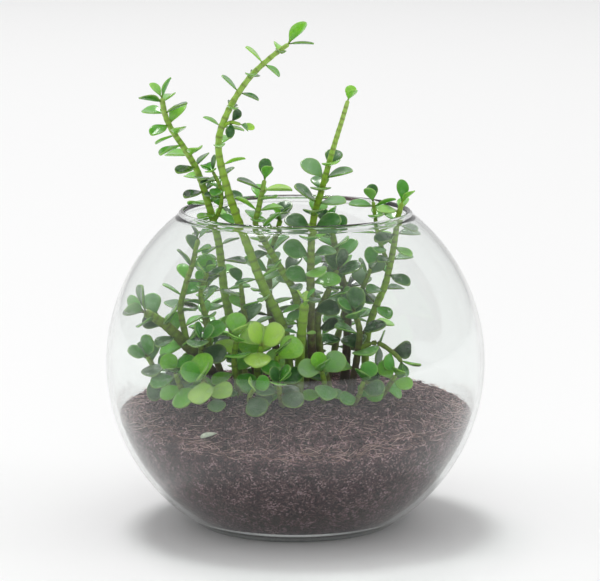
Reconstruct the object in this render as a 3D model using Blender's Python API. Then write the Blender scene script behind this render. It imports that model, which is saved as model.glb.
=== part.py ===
"""Glass bowl planted with young dwarf jade shoots. Metres, +Z up.

The origin is the centre of the bowl's underside, on the surface it rests on. -Y is the
front. Every rooted shoot is one grown piece: its stem, its side branches and its leaves.
"""
import math
import random
from dataclasses import dataclass

import bmesh
import bpy
from mathutils import Matrix, Vector, noise
from mathutils.bvhtree import BVHTree

MM = 0.001
GAP = 0.0004                     # air between pieces that touch

BOWL_RADIUS = 0.125              # outside of the ball
CENTRE_HEIGHT = 0.106            # from the resting plane up to the ball's centre
RIM_RISE = 0.0985                # from the ball's centre up to the middle of the lip
WALL = 0.003
FLOOR_HEIGHT = 0.0045            # inside floor above the resting plane
KICK_RADIUS = 0.034              # pushed-up centre of the underside
KICK_HEIGHT = 0.0015
SEGMENTS = 32
WALL_STEPS = 10
LIP_STEPS = 3

SOIL_FRONT = 0.063               # soil line on the glass at the front
SOIL_SIDE = 0.073
SOIL_BACK = 0.077
SOIL_CROWN = 0.084               # top of the mound where the shoots stand
SOIL_RINGS = 6
ROOT_DEPTH = 0.018               # length of each stem that is in the soil
SOCKET_TOP = 0.007               # height of a socket cutter above a stem's foot
LUMP = 0.026                     # size of the soil's lumps
LUMP_HEIGHT = 0.0035

STEM_SIDES = 6
RING_STEP = 0.016                # distance between a stem's rings
CURVE_STEP = 0.0015              # distance between samples along a stem's middle line
LEAF_THICKNESS = 0.13            # for a length of 1
LEAF_DROOP = 0.17                # how far the tip bends back
LEAF_MARGIN = 0.0005             # air kept around a blade
SHORT_EDGE = 0.0005              # shorter edges are merged after a union
FLAT_ANGLE = math.radians(1.0)

# Turn, pitch (degrees) and size tried for a leaf until it is clear of everything.
TRIES = (
    (0, 0, 1.0), (0, -12, 0.96), (24, 0, 0.94), (-24, 0, 0.94), (0, 16, 0.9), (42, -14, 0.86),
    (-42, -14, 0.86), (0, -26, 0.82), (30, 20, 0.78), (-30, 20, 0.78), (0, 0, 0.66),
)


@dataclass
class Growth:
    """How leaves sit along a stem: sizes in millimetres, angles in degrees."""

    first: float = 12.0          # from the stem's start to its lowest pair
    gap: float = 13.0            # between pairs at the bottom
    gap_top: float = 7.0         # between pairs at the tip
    size: float = 16.0           # blade length at the bottom
    size_top: float = 11.0
    pitch: float = 78.0          # between the stem and a leaf, at the bottom
    pitch_top: float = 38.0
    turn: float = 0.0            # direction of the lowest pair
    broad: float = 0.78          # width of a blade for a length of 1
    tip: float = 0.8             # length of the last two blades, for 1 of the others
    missing: float = 0.06        # share of leaves that have dropped
    bare: tuple = (0.0, 0.0)     # stretch with no leaves, from the stem's start
    light: tuple = (0.0, -0.8, 0.6)     # where the blades turn their faces
    seed: int = 1


@dataclass
class Branch:
    """A side branch: where it leaves its stem and its route in millimetres."""

    route: tuple
    radius: float
    radius_top: float
    growth: Growth


@dataclass
class Shoot:
    """A rooted shoot: its route from the soil to its tip, in millimetres."""

    name: str
    colour: str
    route: tuple
    radius: float
    radius_top: float
    growth: Growth
    branches: tuple = ()


REAR_LIGHT = (0.0, 0.6, 0.8)
TOP_LIGHT = (0.0, -0.25, 0.9)

SHOOTS = (
    Shoot("tallest_shoot", "leaf", (
        (-3, 4, 84), (-8, 0, 127), (-21, -3, 156), (-32, -6, 186), (-44, -8, 221), (-50, -9, 250),
        (-44, -10, 272), (-31, -11, 293), (-17, -12, 307), (-4, -14, 317)), 3.6, 1.5,
        Growth(first=40, gap=14, gap_top=12, size=15, size_top=13, pitch_top=74, turn=90, broad=0.6,
               tip=1.25, missing=0.04, bare=(84, 156), light=TOP_LIGHT, seed=3),
        (Branch(((-48, -9, 262), (-42, -13, 266), (-35, -17, 265)), 1.3, 1.0,
                Growth(first=9, gap=7, gap_top=6, size=11, size_top=12, turn=70, broad=0.55, seed=5)),)),
    Shoot("tall_left_shoot", "leaf", (
        (-38, 16, 84), (-40, 14, 114), (-47, 12, 150), (-51, 10, 185), (-58, 8, 212), (-64, 6, 231),
        (-72, 4, 246), (-81, 2, 260), (-85, 0, 270), (-87, 0, 281)), 3.2, 1.6,
        Growth(first=36, gap=11, gap_top=7.5, size=16, size_top=15, pitch=84, pitch_top=68, turn=50,
               broad=0.66, missing=0.03, light=TOP_LIGHT, seed=7),
        (Branch(((-54, 9, 197), (-49, 4, 209), (-49, 0, 221), (-54, -3, 233)), 1.4, 1.0,
                Growth(first=6, gap=7, gap_top=6, size=13, size_top=12, pitch=84, pitch_top=62, turn=20,
                       broad=0.7, missing=0.0, light=TOP_LIGHT, seed=137)),)),
    Shoot("right_middle_shoot", "leaf", (
        (13, 8, 84), (11, 3, 112), (10, 0, 146), (11, -5, 195), (17, -8, 221), (24, -12, 247),
        (30, -14, 267), (34, -16, 281)), 3.4, 1.3,
        Growth(first=56, gap=9.5, gap_top=8, size=17, size_top=16, turn=0, broad=0.84, tip=0.55,
               missing=0.0, bare=(162, 198), seed=11)),
    Shoot("far_right_shoot", "leaf", (
        (48, 26, 84), (47, 25, 108), (51, 22, 131), (60, 18, 155), (65, 11, 181), (67, 5, 199),
        (70, 2, 212)), 2.9, 1.6,
        Growth(first=44, gap=13, gap_top=7, size=15, size_top=16, pitch_top=74, turn=35, broad=0.62,
               missing=0.03, light=TOP_LIGHT, seed=13),
        (Branch(((62, 15, 168), (55, 10, 187), (51, 8, 212)), 1.5, 1.1,
                Growth(first=14, gap=10, gap_top=8, size=14, size_top=15, pitch_top=60, turn=80, broad=0.7,
                       missing=0.0, light=TOP_LIGHT, seed=17)),)),
    Shoot("middle_shoot", "leaf", (
        (8, 21, 84), (5, 13, 118), (0, 6, 149), (-7, 3, 163), (-19, -1, 184), (-26, -3, 197),
        (-24, -4, 209), (-20, -6, 228)), 3.2, 1.5,
        Growth(first=46, gap=10, gap_top=6.5, size=16, size_top=16, pitch=84, pitch_top=60, turn=15,
               broad=0.64, missing=0.03, light=TOP_LIGHT, seed=19)),
    Shoot("cut_front_stem", "bark", (
        (2, -10, 84), (3, -14, 112), (4, -18, 128), (6, -22, 149)), 3.3, 2.9,
        Growth(first=44, gap=18, gap_top=12, size=9, size_top=11, turn=10, broad=0.36, missing=0.0,
               seed=23)),
    Shoot("woody_left_shoot", "leaf", (
        (-51, 0, 84), (-55, -4, 98), (-63, -8, 109), (-73, -13, 121), (-85, -19, 134), (-98, -22, 143)),
        4.7, 2.6,
        Growth(first=30, gap=12, gap_top=7, size=18, size_top=17, turn=60, broad=0.8, missing=0.0, seed=29),
        (Branch(((-70, -12, 117), (-75, -13, 142), (-72, -15, 158), (-67, -16, 173), (-63, -18, 190)),
                2.1, 1.4, Growth(first=14, gap=11, gap_top=9, size=15, size_top=14, turn=30, broad=0.66,
                                 missing=0.0, light=TOP_LIGHT, seed=31)),
         Branch(((-58, -6, 103), (-57, -9, 130), (-62, -12, 152), (-57, -16, 168)), 2.0, 1.3,
                Growth(first=12, gap=11, gap_top=9, size=15, size_top=13, turn=100, broad=0.66,
                       missing=0.0, light=TOP_LIGHT, seed=37)),
         Branch(((-63, -8, 109), (-62, -18, 115), (-61, -26, 126)), 1.9, 1.4,
                Growth(first=7, gap=9, gap_top=7, size=16, size_top=17, pitch=86, pitch_top=60, turn=65,
                       missing=0.0, broad=0.9, seed=131)))),
    Shoot("right_rear_shoot", "leaf", (
        (33, 31, 84), (35, 30, 121), (33, 28, 148), (30, 26, 162), (27, 24, 177), (23, 22, 194)), 3.5, 1.8,
        Growth(first=44, gap=11, gap_top=8, size=17, size_top=16, turn=40, missing=0.0, seed=41),
        (Branch(((35, 29, 136), (44, 20, 150), (50, 14, 166)), 1.9, 1.3,
                Growth(first=9, gap=12, gap_top=8, size=17, size_top=16, turn=20, seed=43)),)),
    Shoot("front_rosette", "leaf", (
        (-24, -8, 83), (-25, -18, 104), (-22, -28, 122)), 2.6, 1.8,
        Growth(first=18, gap=11, gap_top=8, size=18, size_top=22, pitch=88, pitch_top=66, turn=75,
               missing=0.0, broad=0.94, seed=47)),
    Shoot("lime_rosette", "leaf", (
        (-36, -12, 83), (-40, -20, 108), (-38, -25, 127)), 2.4, 1.6,
        Growth(first=20, gap=12, gap_top=8, size=18, size_top=19, pitch=86, pitch_top=60, turn=20,
               missing=0.0, broad=0.94, seed=53)),
    Shoot("centre_cluster_shoot", "leaf", (
        (-10, -14, 83), (-12, -24, 101), (-12, -30, 116)), 2.4, 1.6,
        Growth(first=14, gap=10, gap_top=8, size=17, size_top=18, pitch=86, pitch_top=60, turn=50,
               missing=0.0, broad=0.94, seed=57)),
    Shoot("right_cluster_shoot", "leaf", (
        (36, -2, 84), (40, -6, 106), (42, -11, 128), (38, -14, 142)), 2.8, 1.7,
        Growth(first=18, gap=13, gap_top=9, size=18, size_top=18, pitch=84, turn=5, missing=0.0,
               broad=0.94, seed=59),
        (Branch(((41, -8, 116), (53, -9, 120), (64, -12, 114), (70, -14, 108)), 1.7, 1.3,
                Growth(first=14, gap=10, gap_top=8, size=14, size_top=14, turn=50, seed=61)),)),
    Shoot("left_edge_shoot", "leaf", (
        (-76, 2, 80), (-88, -10, 96), (-97, -19, 113)), 2.2, 1.5,
        Growth(first=12, gap=9, gap_top=7, size=16, size_top=17, pitch=88, pitch_top=60, turn=10,
               broad=0.94, seed=63)),
    Shoot("low_left_shoot", "leaf", (
        (-66, -14, 81), (-74, -24, 92), (-78, -31, 104)), 2.2, 1.5,
        Growth(first=9, gap=10, gap_top=8, size=17, size_top=17, pitch=90, pitch_top=60, turn=30,
               broad=0.94, seed=67)),
    Shoot("low_bright_shoot", "leaf", (
        (-50, -22, 81), (-55, -32, 92), (-60, -40, 102)), 2.2, 1.5,
        Growth(first=9, gap=10, gap_top=8, size=17, size_top=21, pitch=90, pitch_top=66, turn=75,
               broad=0.94, seed=71)),
    Shoot("low_front_shoot", "leaf", (
        (-28, -30, 79), (-30, -40, 89), (-27, -47, 97)), 2.0, 1.4,
        Growth(first=8, gap=9, gap_top=7, size=15, size_top=16, pitch=88, pitch_top=60, turn=20,
               broad=0.94, seed=73)),
    Shoot("low_centre_shoot", "leaf", (
        (-8, -30, 80), (-10, -40, 91), (-11, -46, 101)), 2.2, 1.5,
        Growth(first=8, gap=9, gap_top=7, size=15, size_top=16, pitch=88, pitch_top=60, turn=65,
               broad=0.94, seed=79)),
    Shoot("low_right_shoot", "leaf", (
        (18, -20, 81), (19, -28, 95), (17, -33, 106)), 2.2, 1.5,
        Growth(first=8, gap=10, gap_top=8, size=15, size_top=16, pitch=88, pitch_top=60, turn=15,
               broad=0.94, seed=83)),
    Shoot("low_right_front_shoot", "leaf", (
        (38, -24, 81), (42, -31, 91), (44, -35, 100)), 2.0, 1.4,
        Growth(first=8, gap=9, gap_top=7, size=14, size_top=15, pitch=84, pitch_top=55, turn=60,
               broad=0.94, seed=85)),
    Shoot("right_edge_shoot", "leaf", (
        (56, -8, 82), (62, -13, 93), (66, -17, 100)), 2.0, 1.4,
        Growth(first=8, gap=9, gap_top=7, size=14, size_top=15, pitch=84, pitch_top=55, turn=40,
               broad=0.94, seed=89)),
    Shoot("olive_middle_shoot", "leaf", (
        (22, 18, 84), (16, 14, 112), (15, 11, 134), (22, 9, 152), (28, 8, 166)), 3.1, 1.7,
        Growth(first=30, gap=12, gap_top=8, size=16, size_top=16, turn=60, missing=0.0, seed=97)),
    Shoot("inner_left_shoot", "leaf", (
        (-24, 14, 84), (-30, 10, 112), (-34, 4, 138), (-36, 0, 158)), 2.6, 1.5,
        Growth(first=24, gap=12, gap_top=8, size=16, size_top=15, turn=45, missing=0.0, seed=101)),
    Shoot("rear_left_shoot", "leaf", (
        (-48, 34, 82), (-56, 38, 108), (-62, 36, 134), (-60, 32, 156)), 2.8, 1.6,
        Growth(first=24, gap=16, gap_top=10, size=18, size_top=16, turn=10, light=REAR_LIGHT, seed=103)),
    Shoot("rear_middle_shoot", "leaf", (
        (-12, 40, 84), (-14, 47, 112), (-18, 46, 140), (-16, 40, 172), (-10, 34, 196)), 3.0, 1.6,
        Growth(first=28, gap=17, gap_top=11, size=18, size_top=16, turn=70, light=REAR_LIGHT, seed=107)),
    Shoot("rear_right_shoot", "leaf", (
        (22, 48, 83), (28, 57, 108), (34, 58, 134), (32, 52, 156)), 2.7, 1.5,
        Growth(first=24, gap=16, gap_top=10, size=18, size_top=16, turn=25, light=REAR_LIGHT, seed=109)),
    Shoot("low_rear_left_shoot", "leaf", (
        (-32, 54, 81), (-38, 64, 94), (-42, 70, 106)), 2.3, 1.5,
        Growth(first=10, gap=11, gap_top=8, size=17, size_top=17, pitch=86, pitch_top=58, turn=55,
               light=REAR_LIGHT, seed=113)),
    Shoot("low_rear_right_shoot", "leaf", (
        (14, 68, 81), (17, 76, 94), (18, 82, 106)), 2.2, 1.5,
        Growth(first=10, gap=11, gap_top=8, size=17, size_top=17, pitch=86, pitch_top=58, turn=15,
               light=REAR_LIGHT, seed=127)),
)

# The leaf that has dropped on the soil: x and y in millimetres, heading in degrees, length.
FALLEN_PLACE = (-50.0, -72.0)
FALLEN_HEADING = 205.0
FALLEN_LENGTH = 11.0

COLOURS = {                       # base colour, roughness, metallic
    "glass": ((0.86, 0.90, 0.89, 0.25), 0.03, 0.0),
    "soil": ((0.085, 0.060, 0.055, 1.0), 0.95, 0.0),
    "leaf": ((0.16, 0.35, 0.07, 1.0), 0.38, 0.0),
    "bark": ((0.30, 0.29, 0.11, 1.0), 0.55, 0.0),
    "dry_leaf": ((0.48, 0.44, 0.22, 1.0), 0.6, 0.0),
}


# ---------------------------------------------------------------- objects and materials

def finish_material(kind):
    """Return the material for a kind of surface, made once."""
    name = kind + "_finish"
    if name in bpy.data.materials:
        return bpy.data.materials[name]
    colour, roughness, metallic = COLOURS[kind]
    material = bpy.data.materials.new(name)
    material.use_nodes = True
    shader = material.node_tree.nodes["Principled BSDF"]
    shader.inputs["Base Color"].default_value = colour
    shader.inputs["Roughness"].default_value = roughness
    shader.inputs["Metallic"].default_value = metallic
    shader.inputs["Alpha"].default_value = colour[3]
    material.diffuse_color = colour
    return material


def mesh_from(name, verts, faces):
    """Make a mesh with outward faces from points and index lists."""
    mesh = bpy.data.meshes.new(name)
    mesh.from_pydata([tuple(v) for v in verts], [], faces)
    shell = bmesh.new()
    shell.from_mesh(mesh)
    bmesh.ops.recalc_face_normals(shell, faces=shell.faces)
    shell.to_mesh(mesh)
    shell.free()
    return mesh


def add_object(name, mesh, kind):
    """Put a mesh in the scene with its own material, shaded smooth."""
    piece = bpy.data.objects.new(name, mesh)
    bpy.context.scene.collection.objects.link(piece)
    mesh.materials.clear()
    mesh.materials.append(finish_material(kind))
    mesh.shade_smooth()
    mesh.set_sharp_from_angle(angle=math.radians(40))
    return piece


def combined(base, operation, meshes):
    """Return the mesh of base after a union with, or a cut by, every mesh given."""
    group = bpy.data.collections.new("operands")
    bpy.context.scene.collection.children.link(group)
    target = bpy.data.objects.new("target", base)
    bpy.context.scene.collection.objects.link(target)
    helpers = []
    for mesh in meshes:
        helper = bpy.data.objects.new("helper", mesh)
        helper.hide_render = True
        helper.display_type = "WIRE"
        group.objects.link(helper)
        helpers.append(helper)
    modifier = target.modifiers.new("combine", "BOOLEAN")
    modifier.operation = operation
    modifier.operand_type = "COLLECTION"
    modifier.collection = group
    modifier.solver = "EXACT"
    depsgraph = bpy.context.evaluated_depsgraph_get()
    result = bpy.data.meshes.new_from_object(target.evaluated_get(depsgraph))
    for helper in helpers + [target]:
        bpy.data.objects.remove(helper)
    bpy.data.collections.remove(group)
    return result


def neighbours(vert):
    """The corner points joined to one by an edge."""
    return {edge.other_vert(vert) for edge in vert.link_edges}


def simplified(mesh):
    """Merge the short edges that a union leaves, where the shape stays closed."""
    shell = bmesh.new()
    shell.from_mesh(mesh)
    bmesh.ops.triangulate(shell, faces=shell.faces)
    merged = True
    while merged:
        merged = False
        for edge in sorted(shell.edges, key=lambda item: item.calc_length()):
            if edge.calc_length() > SHORT_EDGE:
                break
            first, second = edge.verts
            if len(neighbours(first) & neighbours(second)) == 2:
                middle = (first.co + second.co) / 2
                bmesh.ops.pointmerge(shell, verts=[first, second], merge_co=middle)
                merged = True
                break
    bmesh.ops.dissolve_limit(shell, angle_limit=FLAT_ANGLE, verts=shell.verts, edges=shell.edges)
    bmesh.ops.triangulate(shell, faces=shell.faces)
    if all(len(edge.link_faces) == 2 for edge in shell.edges):
        shell.to_mesh(mesh)
    shell.free()
    return mesh


# ---------------------------------------------------------------- the bowl

def wall_profile():
    """Outside of the wall from the foot to the lip, then the inside down to the floor."""
    inner = BOWL_RADIUS - WALL
    foot = math.asin(-CENTRE_HEIGHT / BOWL_RADIUS)
    top = math.asin(RIM_RISE / BOWL_RADIUS)
    floor = math.asin((FLOOR_HEIGHT + 0.004 - CENTRE_HEIGHT) / inner)
    outside = []
    for step in range(WALL_STEPS + 1):
        angle = foot + (top - foot) * step / WALL_STEPS
        outside.append((BOWL_RADIUS * math.cos(angle), CENTRE_HEIGHT + BOWL_RADIUS * math.sin(angle)))
    outside[0] = (outside[0][0] - 0.001, outside[0][1])
    outside.insert(1, (outside[0][0] + 0.0013, 0.0006))
    lip_top = math.asin((RIM_RISE - 0.0004) / inner)
    inside = []
    for step in range(WALL_STEPS + 1):
        angle = lip_top + (floor - lip_top) * step / WALL_STEPS
        inside.append((inner * math.cos(angle), CENTRE_HEIGHT + inner * math.sin(angle)))
    lip = []
    start = Vector((outside[-1][0], outside[-1][1]))
    end = Vector((inside[0][0], inside[0][1]))
    middle = (start + end) / 2
    reach = (start - end) / 2
    rise = Vector((-reach.y, reach.x)) * 1.25
    for step in range(1, LIP_STEPS):
        angle = math.pi * step / LIP_STEPS
        point = middle + reach * math.cos(angle) + rise * math.sin(angle)
        lip.append((point.x, point.y))
    return outside, lip, inside


def spun(name, profile):
    """Turn a profile about +Z: its first and last points are on the axis."""
    shell = bmesh.new()
    verts = [shell.verts.new((radius, 0.0, height)) for radius, height in profile]
    edges = [shell.edges.new(pair) for pair in zip(verts, verts[1:])]
    bmesh.ops.spin(shell, geom=verts + edges, cent=(0, 0, 0), axis=(0, 0, 1),
                   angle=2 * math.pi, steps=SEGMENTS, use_merge=True)
    bmesh.ops.remove_doubles(shell, verts=shell.verts, dist=0.00001)
    bmesh.ops.recalc_face_normals(shell, faces=shell.faces)
    mesh = bpy.data.meshes.new(name)
    shell.to_mesh(mesh)
    shell.free()
    return mesh


def build_bowl():
    """The blown ball with its flat foot, pushed-up centre and round lip."""
    outside, lip, inside = wall_profile()
    profile = [(0.0, KICK_HEIGHT), (KICK_RADIUS * 0.6, KICK_HEIGHT), (KICK_RADIUS, 0.0)]
    profile += outside + lip + inside
    profile += [(inside[-1][0] - 0.007, FLOOR_HEIGHT), (0.0, FLOOR_HEIGHT)]
    return add_object("glass_bowl", spun("glass_bowl", profile), "glass")


# ---------------------------------------------------------------- the soil

def wall_inside(height):
    """Inside radius of the faceted wall at a height."""
    inside = wall_profile()[2]
    for (high_r, high_z), (low_r, low_z) in zip(inside, inside[1:]):
        if low_z <= height <= high_z:
            share = (height - low_z) / (high_z - low_z)
            return low_r + (high_r - low_r) * share
    return inside[-1][0]


def soil_edge(angle):
    """Height of the soil line on the glass, in a direction around the axis."""
    facing = -math.sin(angle)
    if facing > 0:
        return SOIL_SIDE + (SOIL_FRONT - SOIL_SIDE) * facing ** 2
    return SOIL_SIDE + (SOIL_BACK - SOIL_SIDE) * facing ** 2


def soil_height(x, y):
    """Height of the soil's top surface: a mound with a hollow in front and lumps."""
    angle = math.atan2(y, x)
    edge = soil_edge(angle)
    share = min(math.hypot(x, y) / wall_inside(edge), 1.0)
    mound = (SOIL_CROWN - edge) * (1 - share ** 2.2)
    hollow = 0.004 * math.exp(-((x + 0.035) ** 2) / 0.0012 - ((y + 0.068) ** 2) / 0.0005)
    lump = LUMP_HEIGHT * noise.noise(Vector((x / LUMP, y / LUMP, 0.7))) * (1 - share ** 6)
    return edge + mound - hollow + lump


def build_soil(cutters):
    """The filled lower part of the ball, heaped on top, with a socket for every stem."""
    verts = []
    rows = []
    for ring in range(1, SOIL_RINGS + 1):
        row = []
        for step in range(SEGMENTS):
            angle = 2 * math.pi * step / SEGMENTS
            reach = (wall_inside(soil_edge(angle)) - GAP) * ring / SOIL_RINGS
            x = reach * math.cos(angle)
            y = reach * math.sin(angle)
            row.append(len(verts))
            verts.append((x, y, soil_height(x, y)))
        rows.append(row)
    top = len(verts)
    verts.append((0.0, 0.0, soil_height(0.0, 0.0)))
    floor = FLOOR_HEIGHT + GAP
    low_ring = FLOOR_HEIGHT + 0.0045
    for share in (0.66, 0.36, 0.12, 0.0):
        row = []
        for step in range(SEGMENTS):
            angle = 2 * math.pi * step / SEGMENTS
            height = low_ring + (soil_edge(angle) - low_ring) * share
            reach = wall_inside(height) - GAP
            row.append(len(verts))
            verts.append((reach * math.cos(angle), reach * math.sin(angle), height))
        rows.append(row)
    row = []
    foot = wall_profile()[2][-1][0] - 0.0085
    for step in range(SEGMENTS):
        angle = 2 * math.pi * step / SEGMENTS
        row.append(len(verts))
        verts.append((foot * math.cos(angle), foot * math.sin(angle), floor))
    rows.append(row)
    bottom = len(verts)
    verts.append((0.0, 0.0, floor))
    faces = []
    for upper, lower in zip(rows, rows[1:]):
        for step in range(SEGMENTS):
            after = (step + 1) % SEGMENTS
            faces.append((upper[step], upper[after], lower[after], lower[step]))
    for step in range(SEGMENTS):
        after = (step + 1) % SEGMENTS
        faces.append((top, rows[0][after], rows[0][step]))
        faces.append((bottom, rows[-1][step], rows[-1][after]))
    heap = mesh_from("potting_soil", verts, faces)
    shell = bmesh.new()
    shell.from_mesh(heap)
    bmesh.ops.triangulate(shell, faces=shell.faces)
    shell.to_mesh(heap)
    shell.free()
    return add_object("potting_soil", combined(heap, "DIFFERENCE", cutters), "soil")


# ---------------------------------------------------------------- how a shoot grows

def smooth_line(points):
    """Samples along a smooth curve through the points, in metres, about evenly spaced."""
    knots = [Vector(p) * MM for p in points]
    knots = [knots[0] * 2 - knots[1]] + knots + [knots[-1] * 2 - knots[-2]]
    line = []
    for a, b, c, d in zip(knots, knots[1:], knots[2:], knots[3:]):
        count = max(2, round((c - b).length / CURVE_STEP))
        for step in range(count):
            t = step / count
            line.append(0.5 * ((2 * b) + (c - a) * t + (2 * a - 5 * b + 4 * c - d) * t * t
                               + (3 * b - a - 3 * c + d) * t * t * t))
    line.append(knots[-2])
    return line


def lengths_along(line):
    """Distance from the start of a line to each of its points."""
    total = [0.0]
    for a, b in zip(line, line[1:]):
        total.append(total[-1] + (b - a).length)
    return total


def point_at(line, lengths, distance):
    """Place and direction on a line at a distance from its start."""
    for index in range(1, len(line)):
        if lengths[index] >= distance or index == len(line) - 1:
            span = lengths[index] - lengths[index - 1]
            share = min(max((distance - lengths[index - 1]) / span, 0.0), 1.0)
            low = line[max(index - 3, 0)]
            high = line[min(index + 2, len(line) - 1)]
            return line[index - 1].lerp(line[index], share), (high - low).normalized()
    raise ValueError("a line needs two points")


def around(direction, degrees):
    """A unit vector square to a direction, turned about it; zero faces +X."""
    side = Vector((1, 0, 0)) - direction * direction.x
    if side.length < 0.2:
        side = Vector((0, -1, 0)) + direction * direction.y
    side.normalize()
    return Matrix.Rotation(math.radians(degrees), 3, direction) @ side


def leaf_frame(place, direction, radius, turn, pitch, roll, light, length, broad):
    """A leaf's place: its foot, its three directions and its length from stem to tip.

    Its face starts square to the stem and is twisted towards light, a direction whose
    length says how far.
    """
    outward = around(direction, turn)
    angle = math.radians(pitch)
    along = direction * math.cos(angle) + outward * math.sin(angle)
    face = direction * math.sin(angle) - outward * math.cos(angle)
    face = face * (1 - light.length) + light - along * light.dot(along)
    face.normalize()
    face = Matrix.Rotation(math.radians(roll), 3, along) @ face
    across = along.cross(face)
    return {"foot": place, "along": along, "across": across, "face": face,
            "stem": radius, "length": length, "broad": broad}


def leaf_middle(leaf, reach):
    """A point on a leaf's middle line: the blade bends back towards its tip."""
    share = max(reach - leaf["stem"], 0.0) / leaf["length"]
    return leaf["foot"] + leaf["along"] * reach - leaf["face"] * (LEAF_DROOP * leaf["length"] * share ** 2)


def leaf_cage(leaf, grow=0.0, whole=True):
    """Corner points of a plain leaf, from its foot inside the stem to its tip."""
    length = leaf["length"]
    stem = leaf["stem"]
    half = leaf["broad"] * length / 2
    thick = LEAF_THICKNESS * length / 2
    foot = (0.0, 0.05 * length, 0.05 * length, 0.0)
    if not whole:
        foot = (stem + 0.28 * length, half * 0.5 + grow, thick * 0.8 + grow, 0.0)
    stations = (
        foot,
        (stem + 0.45 * length, half * 0.86 + grow, thick + grow, 0.05 * length),
        (stem + 0.80 * length, half * 0.92 + grow, thick * 0.9 + grow, 0.05 * length),
    )
    points = []
    for reach, wide, deep, cup in stations:
        middle = leaf_middle(leaf, reach)
        points.append(middle + leaf["across"] * wide + leaf["face"] * cup)
        points.append(middle + leaf["face"] * deep)
        points.append(middle - leaf["across"] * wide + leaf["face"] * cup)
        points.append(middle - leaf["face"] * deep)
    points.append(leaf_middle(leaf, stem + length + grow))
    faces = [(0, 1, 2, 3)]
    for base in (0, 4):
        for step in range(4):
            after = (step + 1) % 4
            faces.append((base + step, base + 4 + step, base + 4 + after, base + after))
    for step in range(4):
        faces.append((8 + step, 12, 8 + (step + 1) % 4))
    return points, faces


def leaf_solid(leaf):
    """Corner points of a leaf with three sides, inside its cage: a flat top and a keel."""
    length = leaf["length"]
    stem = leaf["stem"]
    half = leaf["broad"] * length / 2
    thick = LEAF_THICKNESS * length / 2
    stations = (
        (0.0, 0.06 * length, 0.05 * length, 0.02 * length),
        (stem + 0.42 * length, half * 0.86, thick, 0.05 * length),
        (stem + 0.78 * length, half * 0.92, thick * 0.9, 0.05 * length),
    )
    points = []
    for reach, wide, deep, cup in stations:
        middle = leaf_middle(leaf, reach)
        points.append(middle + leaf["across"] * wide + leaf["face"] * cup)
        points.append(middle - leaf["across"] * wide + leaf["face"] * cup)
        points.append(middle - leaf["face"] * deep)
    points.append(leaf_middle(leaf, stem + length))
    faces = [(0, 1, 2)]
    for base in (0, 3):
        for step in range(3):
            after = (step + 1) % 3
            faces.append((base + step, base + 3 + step, base + 3 + after, base + after))
    for step in range(3):
        faces.append((6 + step, 9, 6 + (step + 1) % 3))
    return points, faces


def split_quads(faces):
    """Every face as triangles."""
    result = []
    for face in faces:
        for corner in range(1, len(face) - 1):
            result.append((face[0], face[corner], face[corner + 1]))
    return result


def tree_of(points, faces):
    """A search tree of a closed shape."""
    return BVHTree.FromPolygons([tuple(p) for p in points], split_quads(faces))


class Space:
    """What is already standing in the bowl, for keeping new leaves clear of it."""

    def __init__(self):
        self.shapes = []

    def add(self, owner, points, faces):
        """Remember a shape and the piece that it is part of."""
        low = Vector([min(p[axis] for p in points) for axis in range(3)])
        high = Vector([max(p[axis] for p in points) for axis in range(3)])
        self.shapes.append((owner, low, high, tree_of(points, faces)))

    def is_clear(self, points, faces, but=None):
        """True where a shape touches nothing that is remembered, but for one owner's."""
        low = Vector([min(p[axis] for p in points) for axis in range(3)])
        high = Vector([max(p[axis] for p in points) for axis in range(3)])
        tree = None
        for owner, other_low, other_high, other in self.shapes:
            if owner == but:
                continue
            if any(low[axis] > other_high[axis] or high[axis] < other_low[axis] for axis in range(3)):
                continue
            tree = tree or tree_of(points, faces)
            if tree.overlap(other):
                return False
        return True


def pair_places(growth, start, length):
    """Distances of the leaf pairs along a stem, with each one's share of the way up."""
    places = []
    lowest = start + growth.first * MM
    distance = lowest
    while distance < length - 0.001:
        share = (distance - lowest) / max(length - lowest, 0.001)
        places.append((distance, share))
        distance += (growth.gap + (growth.gap_top - growth.gap) * share) * MM
    places.append((length - 0.0006, 1.0))
    return places


def fits(leaf, owner, space):
    """True where a leaf's blade is clear of everything and its foot of other pieces."""
    if not space.is_clear(*leaf_cage(leaf, LEAF_MARGIN, whole=False)):
        return False
    return space.is_clear(*leaf_cage(leaf, LEAF_MARGIN), but=owner)


def grow_leaves(owner, line, radius, radius_top, growth, start, space):
    """Opposite leaves, each pair turned a quarter from the last, clear of the rest."""
    chance = random.Random(growth.seed)
    bare = [start + edge * MM for edge in growth.bare]
    lengths = lengths_along(line)
    leaves = []
    for index, (distance, share) in enumerate(pair_places(growth, start, lengths[-1])):
        place, direction = point_at(line, lengths, distance)
        stem = (radius + (radius_top - radius) * distance / lengths[-1]) * MM
        for side in (0, 180):
            turn = growth.turn + 90 * index + side + chance.uniform(-16, 16)
            pitch = growth.pitch + (growth.pitch_top - growth.pitch) * share + chance.uniform(-9, 9)
            roll = chance.uniform(-18, 18)
            length = (growth.size + (growth.size_top - growth.size) * share) * MM
            length *= chance.uniform(0.84, 1.14)
            light = Vector(growth.light) * chance.uniform(0.3, 0.8)
            if share == 1.0:
                pitch = min(pitch, 34) - 8
                length *= growth.tip
            dropped = chance.random() < growth.missing and share < 0.8
            if dropped or bare[0] < distance < bare[1]:
                continue
            for extra_turn, extra_pitch, scale in TRIES:
                leaf = leaf_frame(place, direction, stem, turn + extra_turn, pitch + extra_pitch,
                                  roll, light, length * scale, growth.broad)
                if fits(leaf, owner, space):
                    space.add(owner, *leaf_cage(leaf, LEAF_MARGIN))
                    leaves.append(leaf)
                    break
    return leaves


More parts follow.
